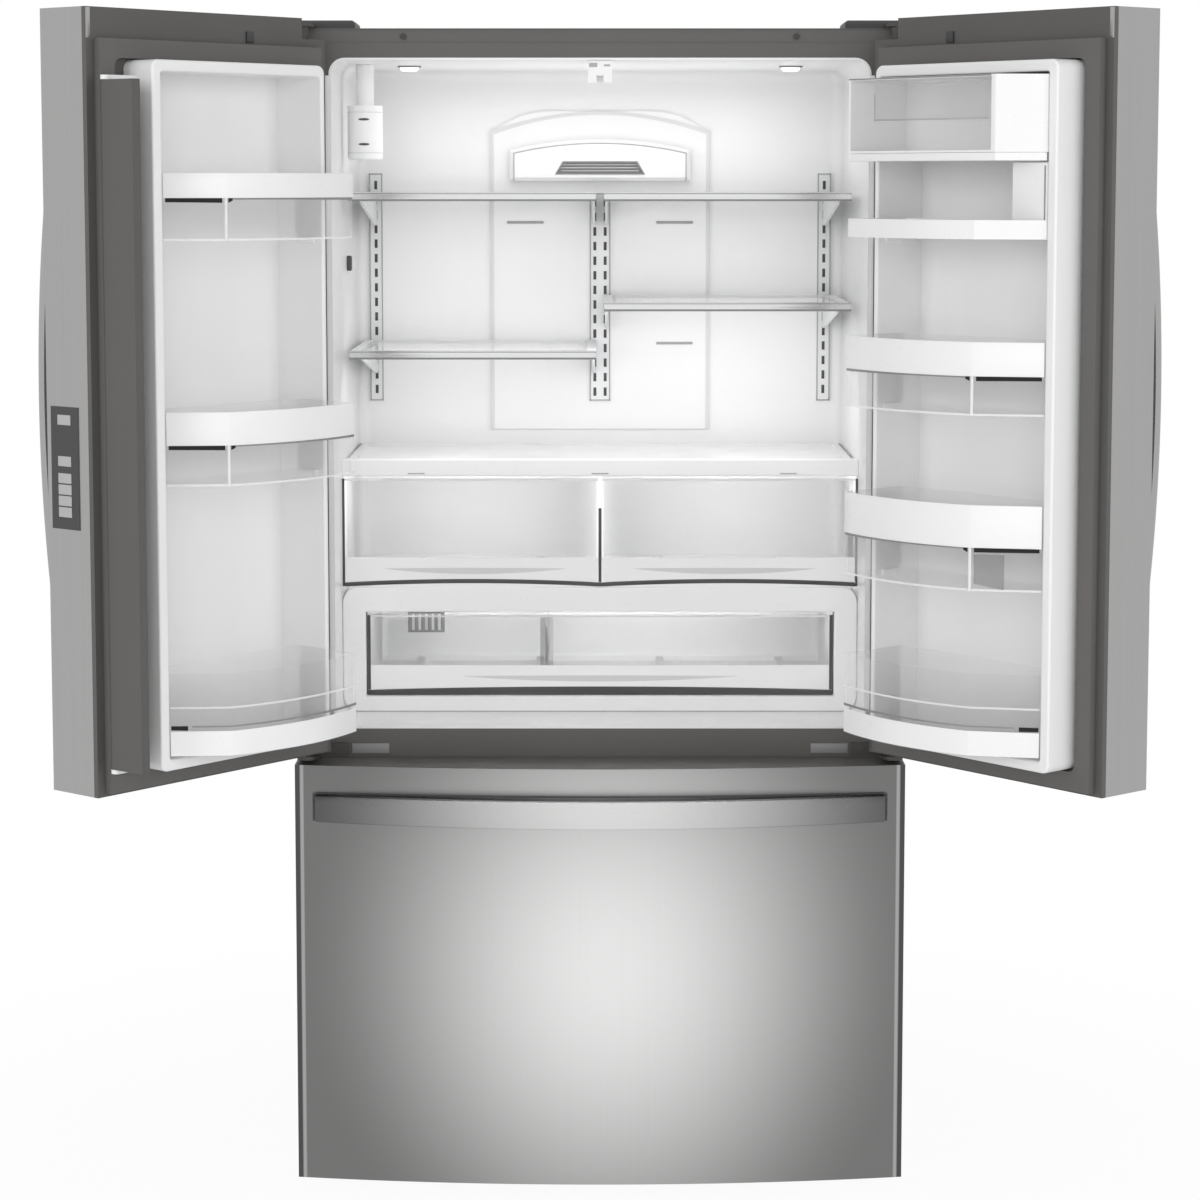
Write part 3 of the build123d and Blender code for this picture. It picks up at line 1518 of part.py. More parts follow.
evaporator_axis = Plane(
    origin=(0, case_front_y + evaporator_fan_depth, evaporator_fan_z),
    x_dir=(1, 0, 0),
    z_dir=(0, -1, 0),
)
condenser_axis = Plane(
    origin=(condenser_fan_x, case_front_y + machine_mid, condenser_fan_z),
    x_dir=(0, 1, 0),
    z_dir=(1, 0, 0),
)
fan("evaporator_fan", evaporator_axis, evaporator_fan_r, evaporator_blade_w)
fan("condenser_fan", condenser_axis, condenser_fan_r, condenser_blade_w)

# Condenser: finned coil on feet, and the fan motor on its bracket
fan_bracket_gap = 40.0
bracket_x = condenser_fan_x + fan_bracket_gap
condenser_rows = 4
condenser_foot_step = 8
with BuildPart() as condenser:
    for column in range(int((condenser_right - condenser_left) / fin_pitch) + 1):
        x = condenser_left + column * fin_pitch
        block(
            (x - fin_t, x + fin_t),
            (machine_mid - condenser_half_t, machine_mid + condenser_half_t),
            (condenser_bottom if column % condenser_foot_step else base_z + base_t, condenser_top),
        )
    for row in range(condenser_rows):
        for depth in (machine_mid - condenser_half_t / 2, machine_mid + condenser_half_t / 2):
            z = condenser_bottom + (row + 0.5) * (condenser_top - condenser_bottom) / condenser_rows
            with BuildSketch(side_plane(condenser_left)):
                with Locations((depth, z)):
                    Circle(coil_r)
            extrude(amount=condenser_right - condenser_left)
    stand_depths = (machine_mid - motor_r, machine_mid + motor_r)
    stand_z = base_z + base_t
    block((bracket_x, bracket_x + plate_t), stand_depths, (stand_z, condenser_fan_z + motor_r))
    block((bracket_x, bracket_x + 2 * motor_r), stand_depths, (stand_z, stand_z + base_t))
    with BuildSketch(side_plane(bracket_x)):
        with Locations((machine_mid, condenser_fan_z)):
            Circle(motor_r)
    extrude(amount=-(bracket_x - condenser_fan_x - fan_hub_t / 2 - motor_gap))
    with BuildSketch(side_plane(bracket_x)):
        with Locations((machine_mid, condenser_fan_z)):
            Circle(fan_shaft_r)
    extrude(amount=-(bracket_x - condenser_fan_x + fan_hub_t / 2))
save(condenser, "condenser")

# Compressor: a domed can on a foot plate
dome_h = 60.0
foot_half_w = 95.0
foot_corner_r = 20.0
with BuildPart() as compressor:
    can_z = base_z + base_t
    can_at = (compressor_x, machine_mid)
    with BuildSketch(floor_plane(can_z)):
        with Locations(can_at):
            RectangleRounded(2 * foot_half_w, 2 * foot_half_w, foot_corner_r)
    extrude(amount=plate_t)
    with BuildSketch(floor_plane(can_z + plate_t)):
        with Locations(can_at):
            Circle(compressor_r)
    extrude(amount=compressor_h)
    fillet(compressor.edges().filter_by(GeomType.CIRCLE).sort_by(Axis.Z)[-1], radius=dome_h)
save(compressor, "compressor")
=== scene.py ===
"""Looks of the french door refrigerator: finishes for its solids, thin trim, soft studio and camera.

Lengths are metres in the shared frame: +Z up, +X to the viewer's right, the front looking along -Y.
"""
import json
import logging
import math
from dataclasses import dataclass
from enum import Enum
from typing import Callable, Sequence

import bpy
from mathutils import Matrix, Vector


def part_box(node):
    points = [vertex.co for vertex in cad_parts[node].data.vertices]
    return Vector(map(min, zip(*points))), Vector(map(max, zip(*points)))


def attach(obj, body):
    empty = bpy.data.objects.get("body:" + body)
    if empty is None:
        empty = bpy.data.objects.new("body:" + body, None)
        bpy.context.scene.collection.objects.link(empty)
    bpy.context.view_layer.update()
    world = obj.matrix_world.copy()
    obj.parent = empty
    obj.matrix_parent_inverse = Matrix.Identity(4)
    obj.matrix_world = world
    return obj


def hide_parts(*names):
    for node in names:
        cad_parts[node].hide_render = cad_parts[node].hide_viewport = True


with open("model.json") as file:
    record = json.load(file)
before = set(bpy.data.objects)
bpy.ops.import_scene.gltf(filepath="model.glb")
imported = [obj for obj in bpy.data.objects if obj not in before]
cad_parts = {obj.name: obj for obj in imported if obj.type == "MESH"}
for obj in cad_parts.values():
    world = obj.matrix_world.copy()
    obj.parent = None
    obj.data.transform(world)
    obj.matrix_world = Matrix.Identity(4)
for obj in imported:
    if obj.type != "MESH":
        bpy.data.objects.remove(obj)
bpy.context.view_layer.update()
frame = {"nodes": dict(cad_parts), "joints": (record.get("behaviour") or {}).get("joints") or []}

LOG = logging.getLogger("refrigerator")
CASE_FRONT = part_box("face_frame")[0].y
Colour = tuple[float, float, float]
Point = tuple[float, float, float]
Flat = tuple[float, float]

# Shared directions, tones and small sizes
FORWARD = (0.0, -1.0, 0.0)
WHITE = (1.0, 1.0, 1.0)
FINE_EDGE = 0.0002
THIN_EDGE = 0.0003
TINY = 1e-6

# A span that lies past the end of every sheet
PAST_SHEET = (9.0, 9.1)


class Grain(Enum):
    """Which way the brush lines of a metal run."""

    UPRIGHT = (260.0, 260.0, 2.0)
    ACROSS = (2.0, 260.0, 260.0)


class Axis(Enum):
    """Which way a round piece points, as the turn of a cylinder."""

    X = (0.0, math.pi / 2, 0.0)
    Y = (math.pi / 2, 0.0, 0.0)
    Z = (0.0, 0.0, 0.0)


class NodeBoard:
    """A material's node tree, with short ways to add and join nodes."""

    def __init__(self, name: str) -> None:
        """Start an empty material that holds one surface shader."""
        self.material = bpy.data.materials.new(name)
        self.material.use_nodes = True
        self.tree = self.material.node_tree
        self.shader = self.tree.nodes["Principled BSDF"]
        self.place = self.add("ShaderNodeTexCoord").outputs["Object"]

    def add(self, kind: str, **values: object) -> bpy.types.Node:
        """Add a node and set its properties.

        Args:
            kind: The node's type name.
            **values: Properties of the node.

        Returns:
            The new node.
        """
        node = self.tree.nodes.new(kind)
        for key, value in values.items():
            setattr(node, key, value)
        return node

    def join(self, start: bpy.types.NodeSocket, end: bpy.types.NodeSocket) -> None:
        """Link two sockets."""
        self.tree.links.new(start, end)

    def feed(self, name: str, value: bpy.types.NodeSocket) -> None:
        """Link a value to one of the surface shader's sockets."""
        self.join(value, self.shader.inputs[name])

    def hold(self, name: str, value: float | tuple[float, ...]) -> None:
        """Set one of the surface shader's sockets to a constant."""
        self.shader.inputs[name].default_value = value

    def mapped(self, scale: Point, shift: Point = (0.0, 0.0, 0.0)) -> bpy.types.NodeSocket:
        """The object's own coordinates, scaled and then shifted."""
        mapping = self.add("ShaderNodeMapping")
        mapping.inputs["Scale"].default_value = scale
        mapping.inputs["Location"].default_value = shift
        self.join(self.place, mapping.inputs["Vector"])
        return mapping.outputs["Vector"]

    def distance(self, scale: Point, shift: Point = (0.0, 0.0, 0.0)) -> bpy.types.NodeSocket:
        """Distance from the origin of the scaled and shifted coordinates."""
        length = self.add("ShaderNodeVectorMath", operation="LENGTH")
        self.join(self.mapped(scale, shift), length.inputs[0])
        return length.outputs["Value"]

    def noise(self, scale: Point, detail: float = 3.0) -> bpy.types.NodeSocket:
        """Noise on the object's own coordinates.

        Args:
            scale: Frequency along X, Y and Z.
            detail: Octaves of the noise.

        Returns:
            The noise value.
        """
        noise = self.add("ShaderNodeTexNoise")
        noise.inputs["Scale"].default_value = 1.0
        noise.inputs["Detail"].default_value = detail
        self.join(self.mapped(scale), noise.inputs["Vector"])
        return noise.outputs["Fac"]

    def spread(
        self,
        value: bpy.types.NodeSocket,
        low: float,
        high: float,
        start: float = 0.3,
        end: float = 0.7,
        easing: str = "LINEAR",
    ) -> bpy.types.NodeSocket:
        """Stretch a value to a range.

        Args:
            value: The value to stretch.
            low: Result at the start.
            high: Result at the end.
            start: Value that gives the low result.
            end: Value that gives the high result.
            easing: Shape of the stretch.

        Returns:
            The stretched value.
        """
        node = self.add("ShaderNodeMapRange", interpolation_type=easing)
        node.inputs["From Min"].default_value = start
        node.inputs["From Max"].default_value = end
        node.inputs["To Min"].default_value = low
        node.inputs["To Max"].default_value = high
        self.join(value, node.inputs["Value"])
        return node.outputs["Result"]

    def blend(
        self,
        factor: float | bpy.types.NodeSocket,
        first: Colour | bpy.types.NodeSocket,
        second: Colour | bpy.types.NodeSocket,
        mode: str = "MIX",
    ) -> bpy.types.NodeSocket:
        """Mix two colours by a factor.

        Args:
            factor: 0 gives the first colour and 1 the second, or their blend.
            first: The first colour.
            second: The second colour.
            mode: How the second colour acts on the first.

        Returns:
            The mixed colour.
        """
        node = self.add("ShaderNodeMix", data_type="RGBA", blend_type=mode)
        colour_sockets = [socket for socket in node.inputs if socket.type == "RGBA"]
        for socket, colour in zip(colour_sockets, (first, second)):
            if isinstance(colour, tuple):
                socket.default_value = (*colour, 1.0)
            else:
                self.join(colour, socket)
        if isinstance(factor, float):
            node.inputs["Factor"].default_value = factor
        else:
            self.join(factor, node.inputs["Factor"])
        return next(socket for socket in node.outputs if socket.type == "RGBA")

    def mottle(self, value: bpy.types.NodeSocket, colour: Colour, share: float) -> None:
        """Let the surface's colour vary with a value.

        Args:
            value: The value to follow.
            colour: The colour at its highest.
            share: Share of that colour at its lowest.
        """
        self.feed("Base Color", self.blend(self.spread(value, 0.0, 1.0), shade(colour, share), colour))

    def roughen(self, value: bpy.types.NodeSocket, middle: float, below: float, above: float) -> None:
        """Let the surface's roughness vary with a value.

        Args:
            value: The value to follow.
            middle: The plain roughness.
            below: How far it falls.
            above: How far it rises.
        """
        self.feed("Roughness", self.spread(value, middle - below, middle + above))

    def bump(self, height: bpy.types.NodeSocket, strength: float, distance: float) -> None:
        """Give the surface a relief.

        Args:
            height: The height value.
            strength: How strongly it shows.
            distance: Height of the relief in metres.
        """
        node = self.add("ShaderNodeBump")
        node.inputs["Strength"].default_value = strength
        node.inputs["Distance"].default_value = distance
        self.join(height, node.inputs["Height"])
        self.feed("Normal", node.outputs["Normal"])


def shade(colour: Colour, share: float) -> Colour:
    """A lighter or darker copy of a colour."""
    return tuple(min(1.0, part * share) for part in colour)


@dataclass(frozen=True)
class PaintedSheen:
    """Painted highlight on a rolled steel sheet: a broad bright patch painted into its colour, fading to a
    darker tone.

    The painted glint and the painted dark edge are each given by the distances across at which they start
    and are full.
    """

    centre: Flat
    reach: Flat
    rim: Colour
    painted_glint: Flat = PAST_SHEET
    edge: Flat = PAST_SHEET
    painted_glint_share: float = 0.3
    painted_edge_shade: float = 0.45


@dataclass(frozen=True)
class BrushedSteel:
    """Brushed stainless steel whose lines follow the grain, with a painted highlight where it has one."""

    name: str
    colour: Colour
    grain: Grain
    roughness: float = 0.32
    line_shade: float = 0.94
    relief: float = 0.04
    painted_sheen: PaintedSheen | None = None
    polish: Flat = (0.04, 0.05)
    anisotropy: float = 0.4
    line_height: float = 0.0003

    def tone(self, board: NodeBoard) -> Colour | bpy.types.NodeSocket:
        """The metal's colour, with its painted highlight, painted glint and painted dark edge where it has
        them.
        """
        if self.painted_sheen is None:
            return self.colour
        (x, z), (reach_x, reach_z) = self.painted_sheen.centre, self.painted_sheen.reach
        radius = board.distance((1.0 / reach_x, 0.0, 1.0 / reach_z), (-x / reach_x, 0.0, -z / reach_z))
        fade = board.spread(radius, 0.0, 1.0, 0.0, 1.0, "SMOOTHSTEP")
        body = board.blend(fade, self.colour, self.painted_sheen.rim)
        # Across the sheet: a painted glint near its two ends, then painted shade at the very edge
        across = board.distance((1.0, 0.0, 0.0))
        painted_glint = board.spread(across, 0.0, self.painted_sheen.painted_glint_share, *self.painted_sheen.painted_glint)
        edge = board.spread(across, 0.0, 1.0, *self.painted_sheen.edge)
        dark = shade(self.painted_sheen.rim, self.painted_sheen.painted_edge_shade)
        return board.blend(edge, board.blend(painted_glint, body, self.colour), dark)

    def material(self) -> bpy.types.Material:
        """Build the material."""
        board = NodeBoard(self.name)
        lines = board.noise(self.grain.value, 4.0)
        streaks = board.blend(board.spread(lines, 0.0, 1.0), (self.line_shade,) * 3, WHITE)
        board.feed("Base Color", board.blend(1.0, self.tone(board), streaks, "MULTIPLY"))
        board.roughen(lines, self.roughness, *self.polish)
        board.hold("Metallic", 1.0)
        board.hold("Anisotropic", self.anisotropy)
        board.bump(lines, self.relief, self.line_height)
        return board.material


@dataclass(frozen=True)
class Moulding:
    """Moulded plastic, rubber or paint with a fine skin."""

    name: str
    colour: Colour
    roughness: float
    skin_scale: float
    skin_height: float
    mottle: float = 0.95
    coat: float = 0.0
    cloud_scale: float = 7.0
    polish: Flat = (0.03, 0.03)
    coat_roughness: float = 0.1
    relief: float = 0.15

    def material(self) -> bpy.types.Material:
        """Build the material."""
        board = NodeBoard(self.name)
        skin = board.noise((self.skin_scale,) * 3)
        board.mottle(board.noise((self.cloud_scale,) * 3, 2.0), self.colour, self.mottle)
        board.roughen(skin, self.roughness, *self.polish)
        board.hold("Coat Weight", self.coat)
        board.hold("Coat Roughness", self.coat_roughness)
        board.bump(skin, self.relief, self.skin_height)
        return board.material


@dataclass(frozen=True)
class BareMetal:
    """Galvanised, painted or mill-finish metal."""

    name: str
    colour: Colour
    roughness: float
    metallic: float
    spangle: float
    cell_shade: float = 0.82
    polish: Flat = (0.08, 0.08)
    relief: float = 0.12
    height: float = 0.0003

    def material(self) -> bpy.types.Material:
        """Build the material."""
        board = NodeBoard(self.name)
        cells = board.add("ShaderNodeTexVoronoi", feature="F1")
        cells.inputs["Scale"].default_value = self.spangle
        board.join(board.place, cells.inputs["Vector"])
        fine = board.noise((self.spangle * 4.0,) * 3)
        dark = shade(self.colour, self.cell_shade)
        board.feed("Base Color", board.blend(cells.outputs["Distance"], self.colour, dark))
        board.roughen(fine, self.roughness, *self.polish)
        board.hold("Metallic", self.metallic)
        board.bump(fine, self.relief, self.height)
        return board.material


@dataclass(frozen=True)
class ClearSheet:
    """Clear plastic or glass: faint when seen square on, denser at a slant, frosted under a height."""

    name: str
    colour: Colour
    square_on: float
    slanted: float
    roughness: float
    frost: float = 0.0
    frost_z: float = 0.0
    frost_fade: float = 0.01
    facing: float = 0.35
    ripple_scale: float = 18.0
    ripple_shade: float = 0.98
    polish: Flat = (0.0, 0.05)
    refraction: float = 1.45
    relief: float = 0.04
    height: float = 0.0005

    def density(self, board: NodeBoard) -> bpy.types.NodeSocket:
        """How much of the light the sheet holds back."""
        facing = board.add("ShaderNodeLayerWeight")
        facing.inputs["Blend"].default_value = self.facing
        clear = board.spread(facing.outputs["Facing"], self.square_on, self.slanted, 0.0, 1.0)
        if not self.frost:
            return clear
        height = board.add("ShaderNodeSeparateXYZ")
        board.join(board.place, height.inputs["Vector"])
        fade = (self.frost_z, self.frost_z + self.frost_fade)
        frost = board.spread(height.outputs["Z"], self.frost, 0.0, *fade)
        denser = board.add("ShaderNodeMath", operation="MAXIMUM")
        board.join(clear, denser.inputs[0])
        board.join(frost, denser.inputs[1])
        return denser.outputs["Value"]

    def material(self) -> bpy.types.Material:
        """Build the material."""
        board = NodeBoard(self.name)
        ripple = board.noise((self.ripple_scale,) * 3, 2.0)
        board.feed("Alpha", self.density(board))
        board.mottle(ripple, self.colour, self.ripple_shade)
        board.roughen(ripple, self.roughness, *self.polish)
        board.hold("IOR", self.refraction)
        board.bump(ripple, self.relief, self.height)
        return board.material


@dataclass(frozen=True)
class GlowLens:
    """Frosted lamp lens with a soft glow."""

    name: str
    colour: Colour
    glow: float
    frost_scale: float = 300.0
    frost_shade: float = 0.9
    roughness: float = 0.4
    relief: float = 0.1
    height: float = 0.0002

    def material(self) -> bpy.types.Material:
        """Build the material."""
        board = NodeBoard(self.name)
        frost = board.noise((self.frost_scale,) * 3, 2.0)
        board.mottle(frost, self.colour, self.frost_shade)
        board.hold("Emission Color", (*self.colour, 1.0))
        board.hold("Emission Strength", self.glow)
        board.hold("Roughness", self.roughness)
        board.bump(frost, self.relief, self.height)
        return board.material


# Finishes, by name
# Painted highlights of the drawer's steel and its handle: a bright patch painted in the middle, fading to a
# darker rim, and on the drawer a painted glint and painted dark edges at its ends
DRAWER_PAINTED_SHEEN = PaintedSheen(
    (0.013, 0.355), (0.47, 0.56), (0.193, 0.193, 0.191), (0.4405, 0.4420), (0.4455, 0.4475)
)
HANDLE_PAINTED_SHEEN = PaintedSheen((0.013, 0.59), (0.47, 0.56), (0.105, 0.105, 0.104))
FINISHES = (
    BrushedSteel("front_steel", (0.40, 0.40, 0.398), Grain.UPRIGHT),
    # The drawer's steel and its handle carry the painted highlights above
    BrushedSteel("drawer_steel", (0.85, 0.85, 0.846), Grain.UPRIGHT, 0.32, 0.975, 0.015, DRAWER_PAINTED_SHEEN),
    BrushedSteel("drawer_handle_steel", (0.74, 0.74, 0.737), Grain.ACROSS, 0.3, 0.97, 0.008, HANDLE_PAINTED_SHEEN),
    BrushedSteel("handle_steel", (0.40, 0.40, 0.395), Grain.UPRIGHT, 0.28),
    BrushedSteel("shelf_steel", (0.80, 0.803, 0.806), Grain.ACROSS, 0.25),
    Moulding("dark_frame", (0.094, 0.091, 0.086), 0.5, 900.0, 0.0002),
    Moulding("dark_case", (0.108, 0.105, 0.100), 0.45, 700.0, 0.0002),
    Moulding("seal_rubber", (0.120, 0.117, 0.113), 0.6, 1200.0, 0.0002),
    Moulding("white_liner", (0.86, 0.86, 0.862), 0.34, 160.0, 0.0002, 0.992, 0.15),
    Moulding("white_moulding", (0.89, 0.89, 0.892), 0.3, 220.0, 0.0002, 0.992, 0.2),
    Moulding("white_enamel", (0.80, 0.805, 0.81), 0.35, 500.0, 0.0002, 0.98),
    Moulding("soft_grey", (0.42, 0.42, 0.425), 0.45, 600.0, 0.0002),
    # Pale grey: painted shadow lines along the tower
    Moulding("pale_painted_shadow", (0.70, 0.70, 0.702), 0.4, 300.0, 0.0002, 0.98),
    Moulding("pull_grey", (0.66, 0.66, 0.662), 0.35, 300.0, 0.0002, 0.98),
    Moulding("grey_trim", (0.26, 0.26, 0.265), 0.4, 600.0, 0.0002),
    Moulding("pale_key", (0.44, 0.445, 0.45), 0.42, 500.0, 0.0001),
    # Black: painted shadow of the gap under each door bin's band
    Moulding("black_painted_shadow", (0.006, 0.006, 0.007), 0.7, 400.0, 0.0002, 0.8),
    # Dark grey: painted shade in gaps and slots, and also the own colour of the water button and the
    # filter's grip marks
    Moulding("dark_grey_and_painted_shadow", (0.085, 0.085, 0.087), 0.6, 400.0, 0.0002, 0.85),
    Moulding("black_plastic", (0.045, 0.045, 0.047), 0.5, 500.0, 0.0003, 0.85),
    Moulding("panel_black", (0.040, 0.040, 0.043), 0.34, 900.0, 0.0001, 0.9),
    Moulding("foam_core", (0.72, 0.62, 0.4), 0.8, 60.0, 0.001, 0.88),
    BareMetal("galvanised_sheet", (0.55, 0.56, 0.57), 0.42, 0.9, 60.0),
    BareMetal("rear_sheet", (0.50, 0.51, 0.52), 0.42, 0.9, 60.0),
    BareMetal("mill_aluminium", (0.66, 0.67, 0.68), 0.36, 1.0, 90.0),
    BareMetal("dark_steel", (0.09, 0.088, 0.084), 0.45, 0.4, 120.0),
    BareMetal("plain_steel", (0.50, 0.50, 0.50), 0.35, 1.0, 200.0),
    ClearSheet("clear_plastic", (0.96, 0.96, 0.96), 0.03, 0.26, 0.06),
    ClearSheet("clear_rim", (0.97, 0.97, 0.97), 0.55, 0.85, 0.12),
    # Grey sheet: painted shade behind the right middle bin's slanted end
    ClearSheet("grey_painted_shadow", (0.36, 0.36, 0.36), 0.40, 0.60, 0.1),
    ClearSheet("pale_tint", (0.60, 0.60, 0.60), 0.16, 0.28, 0.1),
    ClearSheet("shelf_pane", (0.95, 0.95, 0.95), 0.08, 0.50, 0.05, 1.0, 1.10),
    GlowLens("lamp_lens", (0.95, 0.95, 0.93), 0.8),
)

# Which solids take each finish
NODE_FINISH = {
    "front_steel": ("left_door_skin", "right_door_skin"),
    "drawer_steel": ("freezer_front_skin",),
    "drawer_handle_steel": ("freezer_handle",),
    "handle_steel": ("left_handle", "right_handle"),
    "dark_case": ("cabinet_wrapper", "face_frame", "toe_grille"),
    "dark_frame": ("left_door_frame", "right_door_frame", "freezer_front_frame", "mullion_bar"),
    "seal_rubber": ("left_gasket", "right_gasket", "freezer_gasket"),
    "white_liner": ("fresh_food_liner", "freezer_liner", "left_door_liner", "right_door_liner", "air_tower"),
    "white_moulding": (
        "air_outlet", "mullion_guide", "filter_head", "water_filter", "crisper_cover", "pantry_housing",
        "dairy_box", "right_shelf_bin", "freezer_bin",
    ),
    "white_enamel": ("shelf_tracks", "shelf_frames"),
    "clear_plastic": (
        "left_upper_bin", "left_middle_bin", "left_lower_bin", "right_upper_bin", "right_middle_bin",
        "right_lower_bin", "dairy_lid", "left_crisper", "right_crisper", "pantry_drawer", "freezer_basket",
    ),
    "shelf_pane": ("shelf_glass",),
    "lamp_lens": ("ceiling_lights",),
    "panel_black": ("control_panel",),
    "black_plastic": (
        "compressor", "evaporator_fan", "condenser_fan", "rear_rollers", "leveling_legs", "hinge_covers",
    ),
    "galvanised_sheet": ("rear_panel", "base_frame", "freezer_rails", "freezer_slides"),
    "mill_aluminium": ("condenser", "evaporator"),
    "dark_steel": ("door_hinges",),
    "foam_core": ("insulation",),
}


class Bench:
    """Modelling moves, each made with Blender's own operators."""

    materials: dict[str, bpy.types.Material] = {}
    round_steps: int = 2
    disc_sides: int = 28
    ring_sides: tuple[int, int] = (36, 8)
    smooth_angle: float = math.radians(35.0)

    @classmethod
    def mix_paints(cls) -> None:
        """Build every finish once."""
        for finish in FINISHES:
            cls.materials[finish.name] = finish.material()

    @staticmethod
    def clear() -> None:
        """Leave edit mode and select nothing."""
        if bpy.context.object and bpy.context.object.mode != "OBJECT":
            bpy.ops.object.mode_set(mode="OBJECT")
        bpy.ops.object.select_all(action="DESELECT")

    @staticmethod
    def apply(piece: bpy.types.Object, kind: str, **values: object) -> None:
        """Add a modifier to a piece and apply it.

        Args:
            piece: The piece to change.
            kind: The modifier's type.
            **values: The modifier's settings.
        """
        modifier = piece.modifiers.new(kind.lower(), kind)
        for key, value in values.items():
            setattr(modifier, key, value)
        bpy.context.view_layer.objects.active = piece
        bpy.ops.object.modifier_apply(modifier=modifier.name)

    @classmethod
    def block(cls, low: Point, high: Point, edge: float) -> bpy.types.Object:
        """A box between two corners, with rounded edges.

        Args:
            low: Its lowest corner.
            high: Its highest corner.
            edge: Radius of its edges.

        Returns:
            The new piece.
        """
        cls.clear()
        middle = [(a + b) / 2 for a, b in zip(low, high)]
        bpy.ops.mesh.primitive_cube_add(size=1.0, location=middle)
        piece = bpy.context.object
        piece.scale = [b - a for a, b in zip(low, high)]
        bpy.ops.object.transform_apply(location=True, rotation=True, scale=True)
        bpy.ops.object.mode_set(mode="EDIT")
        bpy.ops.mesh.select_all(action="SELECT")
        bpy.ops.mesh.bevel(offset=edge, segments=cls.round_steps, affect="EDGES")
        bpy.ops.object.mode_set(mode="OBJECT")
        return piece

    @classmethod
    def outline(
        cls, span_x: Flat, span_y: Flat, span_z: Flat, width: float, edge: float
    ) -> list[bpy.types.Object]:
        """Four bars along the edges of an upright rectangle.

        Args:
            span_x: Its left and right end.
            span_y: Near and far side of the bars.
            span_z: Its lower and upper end.
            width: Width of the bars.
            edge: Radius of their edges.

        Returns:
            The new pieces.
        """
        (left, right), (near, far), (low, high) = span_x, span_y, span_z
        bars = (
            (left, left + width, low, high),
            (right - width, right, low, high),
            (left, right, low, low + width),
            (left, right, high - width, high),
        )
        return [cls.block((start, near, base), (end, far, head), edge) for start, end, base, head in bars]

    @classmethod
    def ribbon(
        cls,
        lower: Sequence[Point],
        upper: Sequence[Point],
        wall: float,
        out: Point,
        edge: float = 0.0,
        closed: bool = False,
    ) -> bpy.types.Object:
        """A strip between two rows of points, with a wall that grows outwards.

        Args:
            lower: Points along one edge.
            upper: Points along the other edge.
            wall: Thickness of the strip.
            out: Direction in which the wall grows at the strip's start.
            edge: Radius of its edges.
            closed: Whether the last points meet the first.

        Returns:
            The new piece.
        """
        cls.clear()
        count = len(lower) - 1
        bpy.ops.mesh.primitive_grid_add(x_subdivisions=count, y_subdivisions=1, size=1.0)
        piece = bpy.context.object
        for vertex in piece.data.vertices:
            station = round((vertex.co.x + 0.5) * count)
            vertex.co = (upper if vertex.co.y > 0 else lower)[station]
        if closed:
            bpy.ops.object.mode_set(mode="EDIT")
            bpy.ops.mesh.select_all(action="SELECT")
            bpy.ops.mesh.remove_doubles(threshold=TINY)
            bpy.ops.object.mode_set(mode="OBJECT")
        piece.data.update()
        way = 1.0 if piece.data.polygons[0].normal.dot(Vector(out)) > 0 else -1.0
        cls.apply(piece, "SOLIDIFY", thickness=wall, offset=way, use_even_offset=True)
        if edge:
            cls.apply(piece, "BEVEL", width=edge, segments=cls.round_steps, limit_method="ANGLE")
        return piece

    @classmethod
    def disc(
        cls, centre: Point, radius: float, height: float, axis: Axis, stretch: Point = (1.0, 1.0, 1.0)
    ) -> bpy.types.Object:
        """A short round button with a rounded rim.

        Args:
            centre: Middle of the button.
            radius: Its radius.
            height: Its height along the axis.
            axis: The way that it points.
            stretch: Share of its size along X, Y and Z.

        Returns:
            The new piece.
        """
        cls.clear()
        bpy.ops.mesh.primitive_cylinder_add(
            vertices=cls.disc_sides, radius=radius, depth=height, rotation=axis.value
        )
        piece = bpy.context.object
        bpy.ops.object.transform_apply(location=True, rotation=True, scale=True)
        piece.scale = stretch
        piece.location = centre
        bpy.ops.object.transform_apply(location=True, rotation=True, scale=True)
        cls.apply(piece, "BEVEL", width=height / 4, segments=cls.round_steps, limit_method="ANGLE")
        return piece

    @classmethod
    def ring(cls, centre: Point, inner: float, outer: float, height: float, axis: Axis) -> bpy.types.Object:
        """A flat ring with rounded edges.

        Args:
            centre: Middle of the ring.
            inner: Its inner radius.
            outer: Its outer radius.
            height: Its height along the axis.
            axis: The way that it points.

        Returns:
            The new piece.
        """
        cls.clear()
        around, across = cls.ring_sides
        bpy.ops.mesh.primitive_torus_add(
            location=centre,
            rotation=axis.value,
            major_segments=around,
            minor_segments=across,
            major_radius=(inner + outer) / 2,
            minor_radius=(outer - inner) / 2,
        )
        piece = bpy.context.object
        bpy.ops.object.transform_apply(location=False, rotation=True, scale=False)
        flat = height / (outer - inner)
        piece.scale = (1.0, 1.0, flat) if axis is Axis.Z else (1.0, flat, 1.0)
        bpy.ops.object.transform_apply(location=True, rotation=True, scale=True)
        return piece

    @classmethod
    def group(cls, pieces: Sequence[bpy.types.Object]) -> bpy.types.Object:
        """Join like pieces into one.

        Args:
            pieces: The pieces to join.

        Returns:
            The joined piece.
        """
        cls.clear()
        for piece in pieces:
            piece.select_set(True)
        bpy.context.view_layer.objects.active = pieces[0]
        if len(pieces) > 1:
            bpy.ops.object.join()
        return bpy.context.object

